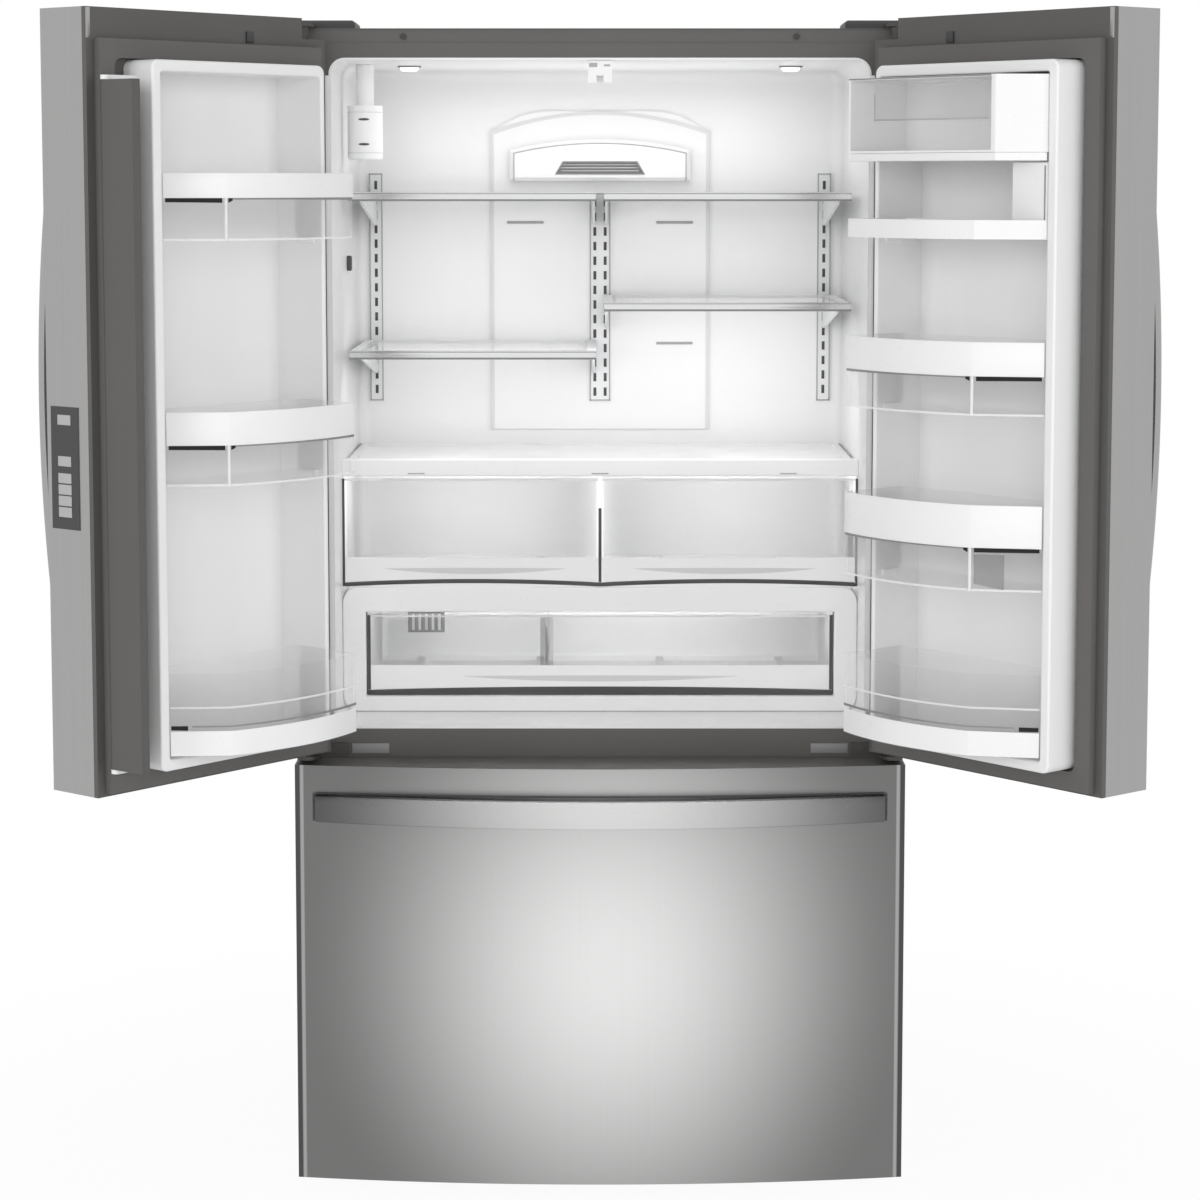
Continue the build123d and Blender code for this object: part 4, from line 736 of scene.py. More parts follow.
    @classmethod
    def finish(
        cls,
        piece: bpy.types.Object | Sequence[bpy.types.Object],
        name: str,
        paint: str,
        body: str,
        place: Matrix | None = None,
    ) -> None:
        """Join, name, seat, paint and hang a finished piece.

        Args:
            piece: The finished piece, or like pieces to join.
            name: Its name.
            paint: Name of its finish.
            body: The body that it rides on.
            place: Matrix from the piece's own axes to the frame.
        """
        if not isinstance(piece, bpy.types.Object):
            piece = cls.group(piece)
        piece.name = name
        piece.data.name = name
        if place is not None:
            piece.data.transform(place)
            if place.determinant() < 0:
                piece.data.flip_normals()
        cls.clear()
        piece.select_set(True)
        bpy.context.view_layer.objects.active = piece
        bpy.ops.object.shade_smooth_by_angle(angle=cls.smooth_angle)
        piece.data.materials.clear()
        piece.data.materials.append(cls.materials[paint])
        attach(piece, body)
        LOG.info("%s rides on %s", name, body)


def depth(value: float) -> float:
    """Place along Y of a depth behind the front of the case."""
    return CASE_FRONT + value


def arch(share: float) -> float:
    """Height of an even bow at a share of its length, 1 at its middle."""
    return 4.0 * share * (1.0 - share)


def sag(x: float, reach: float, rise: float) -> float:
    """Drop of a round arc at a distance from its crown.

    Args:
        x: Distance from the crown.
        reach: Half the arc's chord.
        rise: Height of the crown over the chord.

    Returns:
        How far the arc lies under its crown.
    """
    radius = (reach**2 + rise**2) / (2.0 * rise)
    return radius - math.sqrt(radius**2 - x**2)


def steps(start: float, end: float, count: int) -> list[float]:
    """Even steps from a start to an end, both included."""
    return [start + (end - start) * step / count for step in range(count + 1)]


@dataclass
class Door:
    """One swung-open door: s runs from its hinge edge, p from its inner face towards the food."""

    side: int
    word: str
    liner_free: float
    bands: tuple[tuple[str, float], ...]
    open_angle: float = math.radians(130.0)
    width: float = 0.451
    pin_inset: float = 0.016
    pin_depth: float = 0.035
    bin_hinge: float = 0.0664
    dike_w: float = 0.0164
    dike_p: float = 0.058
    fold: float = 0.310
    fold_start: float = 0.98
    fold_end: Flat = (0.01, 0.08)
    reach: float = 0.138
    bow: float = 0.020
    skin: float = 0.0003
    band_t: float = 0.0024
    band_edge: float = 0.0008
    line_t: float = 0.0005
    line_h: float = 0.0022
    line_growth: float = 0.0016
    line_start: float = 0.045
    rib_w: float = 0.0034
    rim_h: float = 0.0028
    gap_h: Flat = (0.0056, 0.0064)
    gap_span: tuple[float, ...] = (0.03, 0.5, 0.95)
    gap_round: Flat = (0.016, 0.042)
    gap_taper: float = 0.003
    foot_h: float = 0.043
    foot_fold: float = 0.30
    foot_lift: float = 0.001
    foot_gap: float = 0.0075
    foot_break: float = 0.05
    tub_lift: float = 0.024
    stop: Flat = (0.150, 1.722)
    stop_half: Flat = (0.007, 0.008)
    stop_p: Flat = (-0.001, 0.003)
    stop_edge: float = 0.001
    wrap_w: float = 0.0075
    wrap_h: float = 0.042
    wrap_t: float = 0.0007
    wrap_drop: float = 0.001
    grip_toe: float = 0.008
    grip_foot: float = 0.046
    grip_wall: float = 0.014
    grip_edge: float = 0.0035
    grip_steps: int = 36

    @property
    def body(self) -> str:
        """Name of the door's body."""
        return f"{self.word}_door"

    @property
    def free(self) -> float:
        """Free end of the door's bins."""
        return self.width - self.liner_free - self.dike_w

    def place(self) -> Matrix:
        """Matrix from the door's own (s, p, z) to the frame."""
        joint = next(j for j in frame["joints"] if j["name"] == f"{self.word}_door_hinge")
        along = Vector((-self.side * math.cos(self.open_angle), -math.sin(self.open_angle), 0.0))
        inward = Vector((-self.side * math.sin(self.open_angle), math.cos(self.open_angle), 0.0))
        origin = Vector(joint["pos_m"]) - along * self.pin_inset + inward * self.pin_depth
        origin.z = 0.0
        matrix = Matrix.Identity(4)
        for column, axis in enumerate((along, inward, Vector((0.0, 0.0, 1.0)), origin)):
            for row in range(3):
                matrix[row][column] = axis[row]
        return matrix

    def hang(
        self, piece: bpy.types.Object | Sequence[bpy.types.Object], name: str, paint: str
    ) -> None:
        """Finish a piece that was made in the door's own axes."""
        Bench.finish(piece, name, paint, self.body, self.place())

    def slanted(self, share: float, proud: float) -> Flat:
        """Point on the bins' slanted end, 0 at the free end and 1 at the fold."""
        run = Vector((self.fold - self.free, self.reach - self.bow - self.dike_p))
        out = Vector((run.y, -run.x)).normalized() * proud
        return (self.free + run.x * share + out.x, self.dike_p + run.y * share + out.y)

    def bowed(self, share: float, proud: float) -> Flat:
        """Point on the bins' bowed front, 0 at the fold and 1 at the hinge end."""
        s = self.fold + (self.bin_hinge - self.fold) * share
        return (s, self.reach - self.bow + self.bow * arch(share) + proud)

    def front(self, proud: float) -> list[Flat]:
        """Level path round a bin's front, from the free end to the hinge end."""
        near, far = self.fold_end
        ends = [self.slanted(0.0, proud), self.slanted(self.fold_start, proud), self.bowed(near, proud)]
        return ends + [self.bowed(share, proud) for share in steps(far, 1.0, 13)]

    def strip(
        self,
        path: Sequence[Flat],
        low: Callable[[float], float],
        high: float,
        wall: float,
        edge: float = 0.0,
    ) -> bpy.types.Object:
        """An upright strip along a level path.

        Args:
            path: Level points that the strip passes.
            low: Height of the lower edge at a share of the path.
            high: Height of the upper edge.
            wall: Thickness of the strip.
            edge: Radius of its edges.

        Returns:
            The new piece.
        """
        shares = steps(0.0, 1.0, len(path) - 1)
        lower = [(*point, low(share)) for point, share in zip(path, shares)]
        upper = [(*point, high) for point in path]
        return Bench.ribbon(lower, upper, wall, (0.2, 1.0, 0.0), edge)

    def gap_lines(self, name: str, seam: float, fold: float = 1.0) -> None:
        """Painted shadow of the gap under a band: black on the slanted end, thin and grey along the front.

        Args:
            name: Name of the bin.
            seam: Height of the gap's upper edge.
            fold: Share of the slanted end at which the black part stops.
        """
        at_free, at_fold = self.gap_h
        slant = [self.slanted(share * fold, self.skin) for share in self.gap_span]
        growth = at_fold - at_free
        black = [self.strip(slant, lambda share: seam - at_free - growth * share, seam, self.line_t)]
        start = []
        if fold < 1.0:
            start = [self.slanted(share, self.skin) for share in (fold + self.foot_break, self.fold_start)]
        else:
            turn = [self.bowed(share, self.skin) for share in self.gap_round]
            taper = self.gap_taper
            black.append(self.strip(turn, lambda share: seam - at_fold + taper * share, seam, self.line_t))
        self.hang(black, f"{name}_gap", "black_painted_shadow")
        front = start + [self.bowed(share, self.skin) for share in steps(self.line_start, 1.0, 12)]
        # Thin grey painted shadow line along the rest of the bowed front
        thin = self.strip(
            front, lambda share: seam - self.line_h - self.line_growth * share**2, seam, self.line_t
        )
        self.hang(thin, f"{name}_line", "grey_trim")

    def rim(self, name: str, low: float) -> None:
        """Dense clear bead along an edge of a tub, from a height upwards."""
        bead = self.strip(self.front(self.skin), lambda share: low, low + self.rim_h, self.line_t)
        self.hang(bead, f"{name}_rims", "clear_rim")

    def fold_rib(self, name: str, low: float, high: float) -> None:
        """A white bead on the fold of a bin, between two heights."""
        s, p = self.bowed(0.0, 0.0)
        half = self.rib_w / 2
        rib = Bench.block((s - half, p - self.skin, low), (s + half, p + self.band_t, high), self.line_t)
        self.hang(rib, f"{name}_rib", "white_moulding")

    def banded_bin(self, name: str, band_h: float) -> None:
        """White band on top of a clear bin, with the painted shadow of the gap under it.

        Args:
            name: Name of the bin.
            band_h: Height of the band.
        """
        low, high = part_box(name)
        seam = high.z - band_h
        band = self.strip(self.front(self.skin), lambda share: seam, high.z, self.band_t, self.band_edge)
        self.hang(band, f"{name}_band", "white_moulding")
        self.gap_lines(name, seam)
        self.rim(name, low.z)
        self.fold_rib(name, low.z, seam)

    def footed_bin(self, name: str) -> None:
        """White foot of a low bin, with the painted shadow of the gap over it."""
        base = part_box(name)[0].z
        line = base + self.foot_h
        low, high = base + self.foot_lift, line - self.foot_gap
        foot = self.strip(self.front(self.skin), lambda share: low, high, self.line_t)
        self.hang(foot, f"{name}_foot", "white_moulding")
        self.gap_lines(name, line, self.foot_fold)
        self.rim(name, line + self.tub_lift)

    def grip(self) -> None:
        """Long bowed handle with rounded edges, in place of its plain solid."""
        node = f"{self.word}_handle"
        to_door = self.place().inverted()
        corners = [to_door @ vertex.co for vertex in frame["nodes"][node].data.vertices]
        s, p, z = ([min(line), max(line)] for line in zip(*corners))
        half, middle, rise = (z[1] - z[0]) / 2, (z[0] + z[1]) / 2, p[1] - p[0]
        span, hollow = half - self.grip_foot, rise - self.grip_wall
        inner, outer = [], []
        for along in [-half, *steps(-span, span, self.grip_steps), half]:
            inside = max(0.0, hollow - sag(min(abs(along), span), span, hollow))
            outside = rise - sag(along, half, rise - self.grip_toe)
            inner.append((s[0], p[1] - inside, middle + along))
            outer.append((s[0], p[1] - outside, middle + along))
        bar = Bench.ribbon(inner, outer, s[1] - s[0], (1.0, 0.0, 0.0), self.grip_edge)
        self.hang(bar, f"{node}_bar", "handle_steel")
        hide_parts(node)

    def metalwork(self) -> None:
        """Dark stop on the frame's top, and the steel skin's small wrap at the free corner."""
        (s, z), (half_w, half_h), (near, far) = self.stop, self.stop_half, self.stop_p
        stop = Bench.block((s - half_w, near, z - half_h), (s + half_w, far, z + half_h), self.stop_edge)
        self.hang(stop, f"{self.word}_stop", "black_plastic")
        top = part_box(f"{self.word}_door_frame")[1].z
        wrap = Bench.block(
            (self.width - self.wrap_w, 0.0, top - self.wrap_h),
            (self.width, self.wrap_t, top - self.wrap_drop),
            THIN_EDGE,
        )
        self.hang(wrap, f"{self.word}_skin_wrap", "front_steel")

    def build(self) -> None:
        """Add the bins' trim, the metalwork and the handle."""
        for level, band_h in self.bands:
            self.banded_bin(f"{self.word}_{level}_bin", band_h)
        self.footed_bin(f"{self.word}_lower_bin")
        self.metalwork()
        self.grip()


@dataclass
class LeftDoor(Door):
    """The left door, with the touch panel on its free edge."""

    side: int = -1
    word: str = "left"
    liner_free: float = 0.066
    bands: tuple[tuple[str, float], ...] = (("upper", 0.034), ("middle", 0.046))
    panel_p: float = -0.0565
    panel_proud: float = 0.0014
    key_w: float = 0.027
    key_t: float = 0.0006
    key_h: float = 0.0138
    keys: tuple[float, ...] = (1.186, 1.129, 1.1055, 1.0899, 1.0743, 1.0587)

    def build(self) -> None:
        """Add what every door has, and the touch panel's keys."""
        super().build()
        self.touch_keys()

    def touch_keys(self) -> None:
        """Small pads on the panel."""
        s = self.width + self.panel_proud
        near, far = self.panel_p - self.key_w / 2, self.panel_p + self.key_w / 2
        pads = [
            Bench.block((s, near, low), (s + self.key_t, far, low + self.key_h), FINE_EDGE)
            for low in self.keys
        ]
        self.hang(pads, "touch_keys", "pale_key")


@dataclass
class RightDoor(Door):
    """The right door, with the dairy box and the shelf bin."""

    side: int = 1
    word: str = "right"
    liner_free: float = 0.048
    bands: tuple[tuple[str, float], ...] = (("upper", 0.047), ("middle", 0.059))
    dairy_reach: float = 0.118
    dairy_fold: float = 0.3466
    ledge_h: float = 0.011
    ledge_back: float = 0.058
    ledge_lap: float = 0.002
    ledge_edge: float = 0.001
    window_end: float = 0.3381
    window_line_t: float = 0.001
    tray: tuple[float, float, float, float] = (0.118, 0.334, 1.604, 1.640)
    tray_proud: tuple[float, float, float] = (0.0001, 0.0005, 0.0008)
    tint_rise: float = 0.012
    tint_edge: float = 0.0001
    line_w: float = 0.0022
    mark_t: float = 0.0008
    slit_inset: float = 0.0045
    slit_z: Flat = (0.008, 0.004)
    mark_s: Flat = (0.018, 0.009)
    mark_z: Flat = (0.004, 0.0062)
    shadow_span: Flat = (0.52, 0.95)
    shadow_low: Flat = (0.058, 0.008)
    shadow_top: float = 0.009

    def build(self) -> None:
        """Add what every door has, and the trim of the dairy box and the shelf bin."""
        super().build()
        self.dairy_trim()
        self.lid_lines()
        self.shelf_end()
        self.bin_shadow()

    def dairy_trim(self) -> None:
        """Ledge under the dairy box and the dark line over its window."""
        low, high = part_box("dairy_box")
        z = low.z - self.skin
        outer = (
            (self.bin_hinge, self.dairy_reach),
            (self.dairy_fold, self.dairy_reach),
            (self.free, self.dike_p + self.ledge_lap),
        )
        ledge = Bench.ribbon(
            [(s, self.ledge_back, z) for s, _ in outer],
            [(s, p, z) for s, p in outer],
            self.ledge_h,
            (0.0, 0.0, -1.0),
            self.ledge_edge,
        )
        self.hang(ledge, "dairy_ledge", "white_moulding")
        line = Bench.block(
            (self.bin_hinge, self.dairy_reach + self.skin, high.z - self.line_w),
            (self.window_end, self.dairy_reach + self.window_line_t, high.z - self.skin),
            THIN_EDGE,
        )
        self.hang(line, "dairy_line", "grey_trim")

    def lid_lines(self) -> None:
        """Moulded frame and faint tint of the tray on the dairy lid."""
        left, right, low, high = self.tray
        near, tint_face, far = (self.dairy_reach + proud for proud in self.tray_proud)
        edge = self.line_w / 2
        bars = [
            Bench.block((left, near, low - edge), (right, far, low + edge), FINE_EDGE),
            Bench.block((left - edge, near, low - edge), (left + edge, far, high), FINE_EDGE),
        ]
        Bench.finish(bars, "dairy_lid_frame", "soft_grey", "dairy_lid", self.place())
        tint = Bench.block((left, near, low), (right, tint_face, high + self.tint_rise), self.tint_edge)
        Bench.finish(tint, "dairy_lid_tint", "pale_tint", "dairy_lid", self.place())

    def shelf_end(self) -> None:
        """Dark slit and mark on the closed end of the shelf bin."""
        low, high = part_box("right_shelf_bin")
        end, p = self.free - self.slit_inset, self.dike_p
        face = p + self.mark_t
        slit_low, slit_high = low.z + self.slit_z[0], high.z - self.slit_z[1]
        start, stop = (end - inset for inset in self.mark_s)
        mark_low, mark_high = (low.z + lift for lift in self.mark_z)
        marks = [
            Bench.block((end, p, slit_low), (end + self.line_w, face, slit_high), THIN_EDGE),
            Bench.block((start, p, mark_low), (stop, face, mark_high), THIN_EDGE),
        ]
        self.hang(marks, "shelf_end_marks", "grey_trim")

    def bin_shadow(self) -> None:
        """Painted shade: a grey patch behind the slanted end of the middle bin."""
        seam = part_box("right_middle_bin")[1].z - dict(self.bands)["middle"]
        drop, rise = self.shadow_low
        shadow = self.strip(
            [self.slanted(share, self.skin * 2) for share in self.shadow_span],
            lambda share: seam - drop + rise * share,
            seam - self.shadow_top,
            self.line_t / 2,
        )
        self.hang(shadow, "right_middle_bin_shadow", "grey_painted_shadow")


@dataclass
class Interior:
    """Trim inside the fresh food space."""

    lip: Flat = (0.4005, 0.4092)
    lip_t: float = 0.0008
    lip_inset: float = 0.026
    slot_w: float = 0.060
    slot_h: float = 0.004
    slot_t: float = 0.0006
    slot_x: float = 0.123
    slot_z: Flat = (1.451, 1.252)
    slot_floor: float = 0.497
    back_wall: float = 0.500
    tower_front: float = 0.494
    tower_crown: float = 0.032
    tower_drop: float = 0.0005
    tower_line: float = 0.0055
    tower_line_t: float = 0.0004
    tower_skin: float = 0.0002
    track_pitch: float = 0.024
    track_x: float = 0.369
    track_w: float = 0.022
    track_t: float = 0.0057
    track_slot: Flat = (0.0024, 0.0069)
    track_slot_depth: Flat = (0.004, 0.0002)
    centre_track_w: float = 0.034
    centre_track_top: float = 1.499
    line_w: float = 0.0022
    line_t: float = 0.0007
    shelf_front: float = 0.138
    shelf_side: float = 0.385
    shelf_gap: float = 0.006
    shelf_z: tuple[float, float, float] = (1.500, 1.258, 1.332)
    bar_t: float = 0.005
    bar_z: Flat = (-0.0105, 0.002)
    bar_edge: float = 0.0018
    shadow_proud: float = 0.0003
    shadow_z: tuple[Flat, Flat] = ((-0.0118, -0.0088), (-0.0010, 0.0002))
    light_rim: Flat = (0.004, 0.0025)
    light_drop: float = 0.001
    grip_r: float = 0.0085
    grip_t: float = 0.0014
    grip_flat: Point = (1.0, 1.0, 0.22)
    grip_proud: float = 0.0004
    grip_z: Flat = (0.024, 0.021)
    seam_r: Flat = (-0.001, 0.0006)
    seam_h: float = 0.0014
    seam_z: Flat = (0.011, 0.010)
    button: Point = (0.006, 0.267, 1.390)
    button_r: float = 0.012
    button_t: float = 0.009
    button_flat: Point = (1.0, 0.6, 1.0)
    mark_t: float = 0.0005
    marks: tuple[tuple[Flat, Flat], ...] = (
        ((-0.016, -0.004), (0.010, 0.004)),
        ((0.006, 0.015), (0.009, 0.006)),
    )

    def build(self) -> None:
        """Add every piece of trim."""
        self.liner_lips()
        self.tower_slots()
        self.tower_edge_shadows()
        self.track_slots()
        self.track_shadow_lines()
        self.shelf_bars()
        AirOutlet().build()
        self.lights()
        self.filter()
        self.water_button()
        self.guide_marks()

    def liner_lips(self) -> None:
        """White lips of the liner, lapped over the front of the case beside the opening."""
        low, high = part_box("fresh_food_liner")
        base, top = low.z + self.lip_inset, high.z - self.lip_inset
        lips = []
        for side in (-1, 1):
            left, right = sorted(side * x for x in self.lip)
            lips.append(Bench.block((left, depth(-self.lip_t), base), (right, depth(0.0), top), THIN_EDGE))
        Bench.finish(lips, "liner_lips", "white_liner", "cabinet")

    def tower_slots(self) -> None:
        """Grey backs in the tower's air slots: painted shade inside the slots."""
        upper, lower = self.slot_z
        near, far = depth(self.slot_floor - self.slot_t), depth(self.slot_floor)
        half_w, half_h = self.slot_w / 2, self.slot_h / 2
        slots = [
            Bench.block((x - half_w, near, z - half_h), (x + half_w, far, z + half_h), FINE_EDGE)
            for x, z in ((-self.slot_x, upper), (self.slot_x, upper), (self.slot_x, lower))
        ]
        Bench.finish(slots, "tower_slots", "soft_grey", "cabinet")

    def tower_edge_shadows(self) -> None:
        """Shadow lines along the tower's sides and its arched top."""
        low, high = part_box("air_tower")
        half = high.x
        face = depth(self.tower_front - self.tower_skin)
        shoulder = high.z - self.tower_crown
        bow = [
            (x, shoulder + self.tower_crown * arch((x / half + 1.0) / 2.0) - self.tower_drop)
            for x in steps(-half, half, 20)
        ]
        path = [(-half, low.z), (-half, shoulder), *bow[1:-1], (half, shoulder), (half, low.z)]
        middle = (low.z + high.z) / 2
        narrow = 1.0 - self.tower_line / half
        lines = Bench.ribbon(
            [(x * narrow, face, z - self.tower_line * (z > middle)) for x, z in path],
            [(x, face, z) for x, z in path],
            self.tower_line_t,
            FORWARD,
        )
        Bench.finish(lines, "tower_edge_shadows", "pale_painted_shadow", "cabinet")

    def track_slots(self) -> None:
        """Dark backs in the shelf tracks' slots: painted shade inside the slots."""
        low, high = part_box("shelf_tracks")
        centre = self.centre_track_w / 4
        columns = (
            (-self.track_x, self.back_wall, high.z),
            (self.track_x, self.back_wall, high.z),
            (-centre, self.tower_front, self.centre_track_top),
            (centre, self.tower_front, self.centre_track_top),
        )
        half_w, half_h = self.track_slot
        slots = []
        for x, wall, top in columns:
            near, far = (depth(wall - back) for back in self.track_slot_depth)
            count = int((top - low.z) / self.track_pitch + TINY)
            first = (top + low.z) / 2 - (count - 1) * self.track_pitch / 2
            for row in range(count):
                z = first + row * self.track_pitch
                slots.append(
                    Bench.block((x - half_w, near, z - half_h), (x + half_w, far, z + half_h), FINE_EDGE)
                )
        Bench.finish(slots, "track_slots", "dark_grey_and_painted_shadow", "cabinet")

    def track_shadow_lines(self) -> None:
        """Painted shadow lines round each shelf track."""
        low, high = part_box("shelf_tracks")
        outlines = []
        for x, width, wall, top in (
            (-self.track_x, self.track_w, self.back_wall, high.z),
            (self.track_x, self.track_w, self.back_wall, high.z),
            (0.0, self.centre_track_w, self.tower_front, self.centre_track_top),
        ):
            face = depth(wall - self.track_t)
            ends, layer = (x - width / 2, x + width / 2), (face - self.line_t, face)
            outlines += Bench.outline(ends, layer, (low.z, top), self.line_w, FINE_EDGE)
        Bench.finish(outlines, "track_shadow_lines", "soft_grey", "cabinet")

    def shelf_bars(self) -> None:
        """Steel bars along the fronts of the shelves, each over a dark shadow line."""
        front = depth(self.shelf_front)
        top, left, right = self.shelf_z
        spans = (
            ("upper_left", -self.shelf_side, -self.shelf_gap, top),
            ("upper_right", self.shelf_gap, self.shelf_side, top),
            ("left", -self.shelf_side, -self.shelf_gap, left),
            ("right", self.shelf_gap, self.shelf_side, right),
        )
        face = front - self.bar_t
        under, over = self.bar_z
        shadows = []
        for word, start, end, z in spans:
            bar = Bench.block((start, face, z + under), (end, front, z + over), self.bar_edge)
            Bench.finish(bar, f"{word}_shelf_bar", "shelf_steel", "cabinet")
            for low, high in self.shadow_z:
                corner = (start, face - self.shadow_proud, z + low)
                shadows.append(Bench.block(corner, (end, front, z + high), THIN_EDGE))
        Bench.finish(shadows, "shelf_shadow_lines", "grey_trim", "cabinet")

    def lights(self) -> None:
        """Dark rims round the ceiling lights."""
        low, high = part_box("ceiling_lights")
        y, z = (low.y + high.y) / 2, high.z - self.light_drop
        radius = (high.y - low.y) / 2
        width, height = self.light_rim
        rims = [
            Bench.ring((x, y, z), radius, radius + width, height, Axis.Z)
            for x in (low.x + radius, high.x - radius)
        ]
        Bench.finish(rims, "light_rims", "grey_trim", "cabinet")

    def filter(self) -> None:
        """Grip marks and ring seams of the water filter."""
        low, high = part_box("water_filter")
        x, y = (low.x + high.x) / 2, (low.y + high.y) / 2
        face = low.y + self.grip_proud
        marks = [
            Bench.disc((x, face, z), self.grip_r, self.grip_t, Axis.Y, self.grip_flat)
            for z in (low.z + self.grip_z[0], high.z - self.grip_z[1])
        ]
        Bench.finish(marks, "filter_marks", "dark_grey_and_painted_shadow", "water_filter")
        inner, outer = ((high.x - low.x) / 2 + part for part in self.seam_r)
        seams = [
            Bench.ring((x, y, z), inner, outer, self.seam_h, Axis.Z)
            for z in (low.z + self.seam_z[0], high.z - self.seam_z[1])
        ]
        Bench.finish(seams, "filter_seams", "pull_grey", "water_filter")

    def water_button(self) -> None:
        """Small oval water button on the left wall."""
        proud, back, z = self.button
        centre = (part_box("fresh_food_liner")[0].x + proud, depth(back), z)
        button = Bench.disc(centre, self.button_r, self.button_t, Axis.X, self.button_flat)
        Bench.finish(button, "water_button", "dark_grey_and_painted_shadow", "cabinet")

    def guide_marks(self) -> None:
        """Small grey recesses on the mullion guide."""
        low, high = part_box("mullion_guide")
        near, far, top = low.y - self.mark_t, low.y, high.z
        marks = [
            Bench.block((left, near, top - base), (right, far, top - head), FINE_EDGE)
            for (left, right), (base, head) in self.marks
        ]
        Bench.finish(marks, "guide_marks", "soft_grey", "cabinet")


@dataclass
class AirOutlet:
    """Painted shadow line along the air outlet's arched rim, and its grille."""

    crown: float = 0.018
    crown_loss: float = 0.002
    side_inset: float = 0.006
    top_inset: float = 0.004
    foot: float = 0.001
    proud: float = 0.0001
    rim_line: Flat = (0.0022, 0.0018)
    rim_t: float = 0.0006
    floor: float = 0.011
    base: Flat = (0.0735, 1.5295)
    head: Flat = (0.0612, 1.5505)
    frame_line: Flat = (0.003, 0.0022)
    frame_t: float = 0.0008
    louvre_x: float = 0.064
    louvre_y: float = 0.003
    louvre_h: float = 0.0016
    louvre_edge: float = 0.0004
    louvre_z: tuple[float, ...] = (1.5345, 1.5395, 1.5445)

    def build(self) -> None:
        """Add the painted shadow line of the rim, and the grille."""
        self.rim()
        self.grille()

    def rim(self) -> None:
        """Painted shadow: a thin grey line along the arch."""
        low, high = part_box("air_outlet")
        face, base = low.y - self.proud, low.z + self.foot
        half = high.x - self.side_inset
        shoulder = high.z - self.crown - self.top_inset
        rise = self.crown - self.crown_loss
        bow = [(x, shoulder + rise * arch((x / half + 1.0) / 2.0)) for x in steps(-half, half, 16)]
        path = [(-half, base), *bow, (half, base)]
        across, drop = self.rim_line
        rim = Bench.ribbon(
            [(x * (1.0 - across / half), face, z - drop) for x, z in path],
            [(x, face, z) for x, z in path],
            self.rim_t,
            FORWARD,
        )
        Bench.finish(rim, "outlet_arch_shadow", "soft_grey", "cabinet")

    def grille(self) -> None:
        """Back, outline and louvres of the grille under the arch."""
        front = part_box("air_outlet")[0].y
        face, floor = front - self.proud, front + self.floor
        (base, base_z), (head, head_z) = self.base, self.head
        plate = Bench.ribbon(
            [(-base, floor, base_z), (base, floor, base_z)],
            [(-head, floor, head_z), (head, floor, head_z)],
            self.rim_t,
            FORWARD,
        )
        Bench.finish(plate, "outlet_back", "soft_grey", "cabinet")
        ring = ((-base, base_z, 1.0), (base, base_z, 1.0), (head, head_z, -1.0), (-head, head_z, -1.0))
        ring += ring[:1]
        across, up = self.frame_line
        line = Bench.ribbon(
            [(x - math.copysign(across, x), face, z + up * way) for x, z, way in ring],
            [(x, face, z) for x, z, _ in ring],
            self.frame_t,
            FORWARD,
            closed=True,
        )
        Bench.finish(line, "outlet_frame", "grey_trim", "cabinet")
        near, half = front + self.louvre_y, self.louvre_x
        louvres = [
            Bench.block((-half, near, z), (half, floor, z + self.louvre_h), self.louvre_edge)
            for z in self.louvre_z
        ]
        Bench.finish(louvres, "outlet_louvres", "pull_grey", "cabinet")


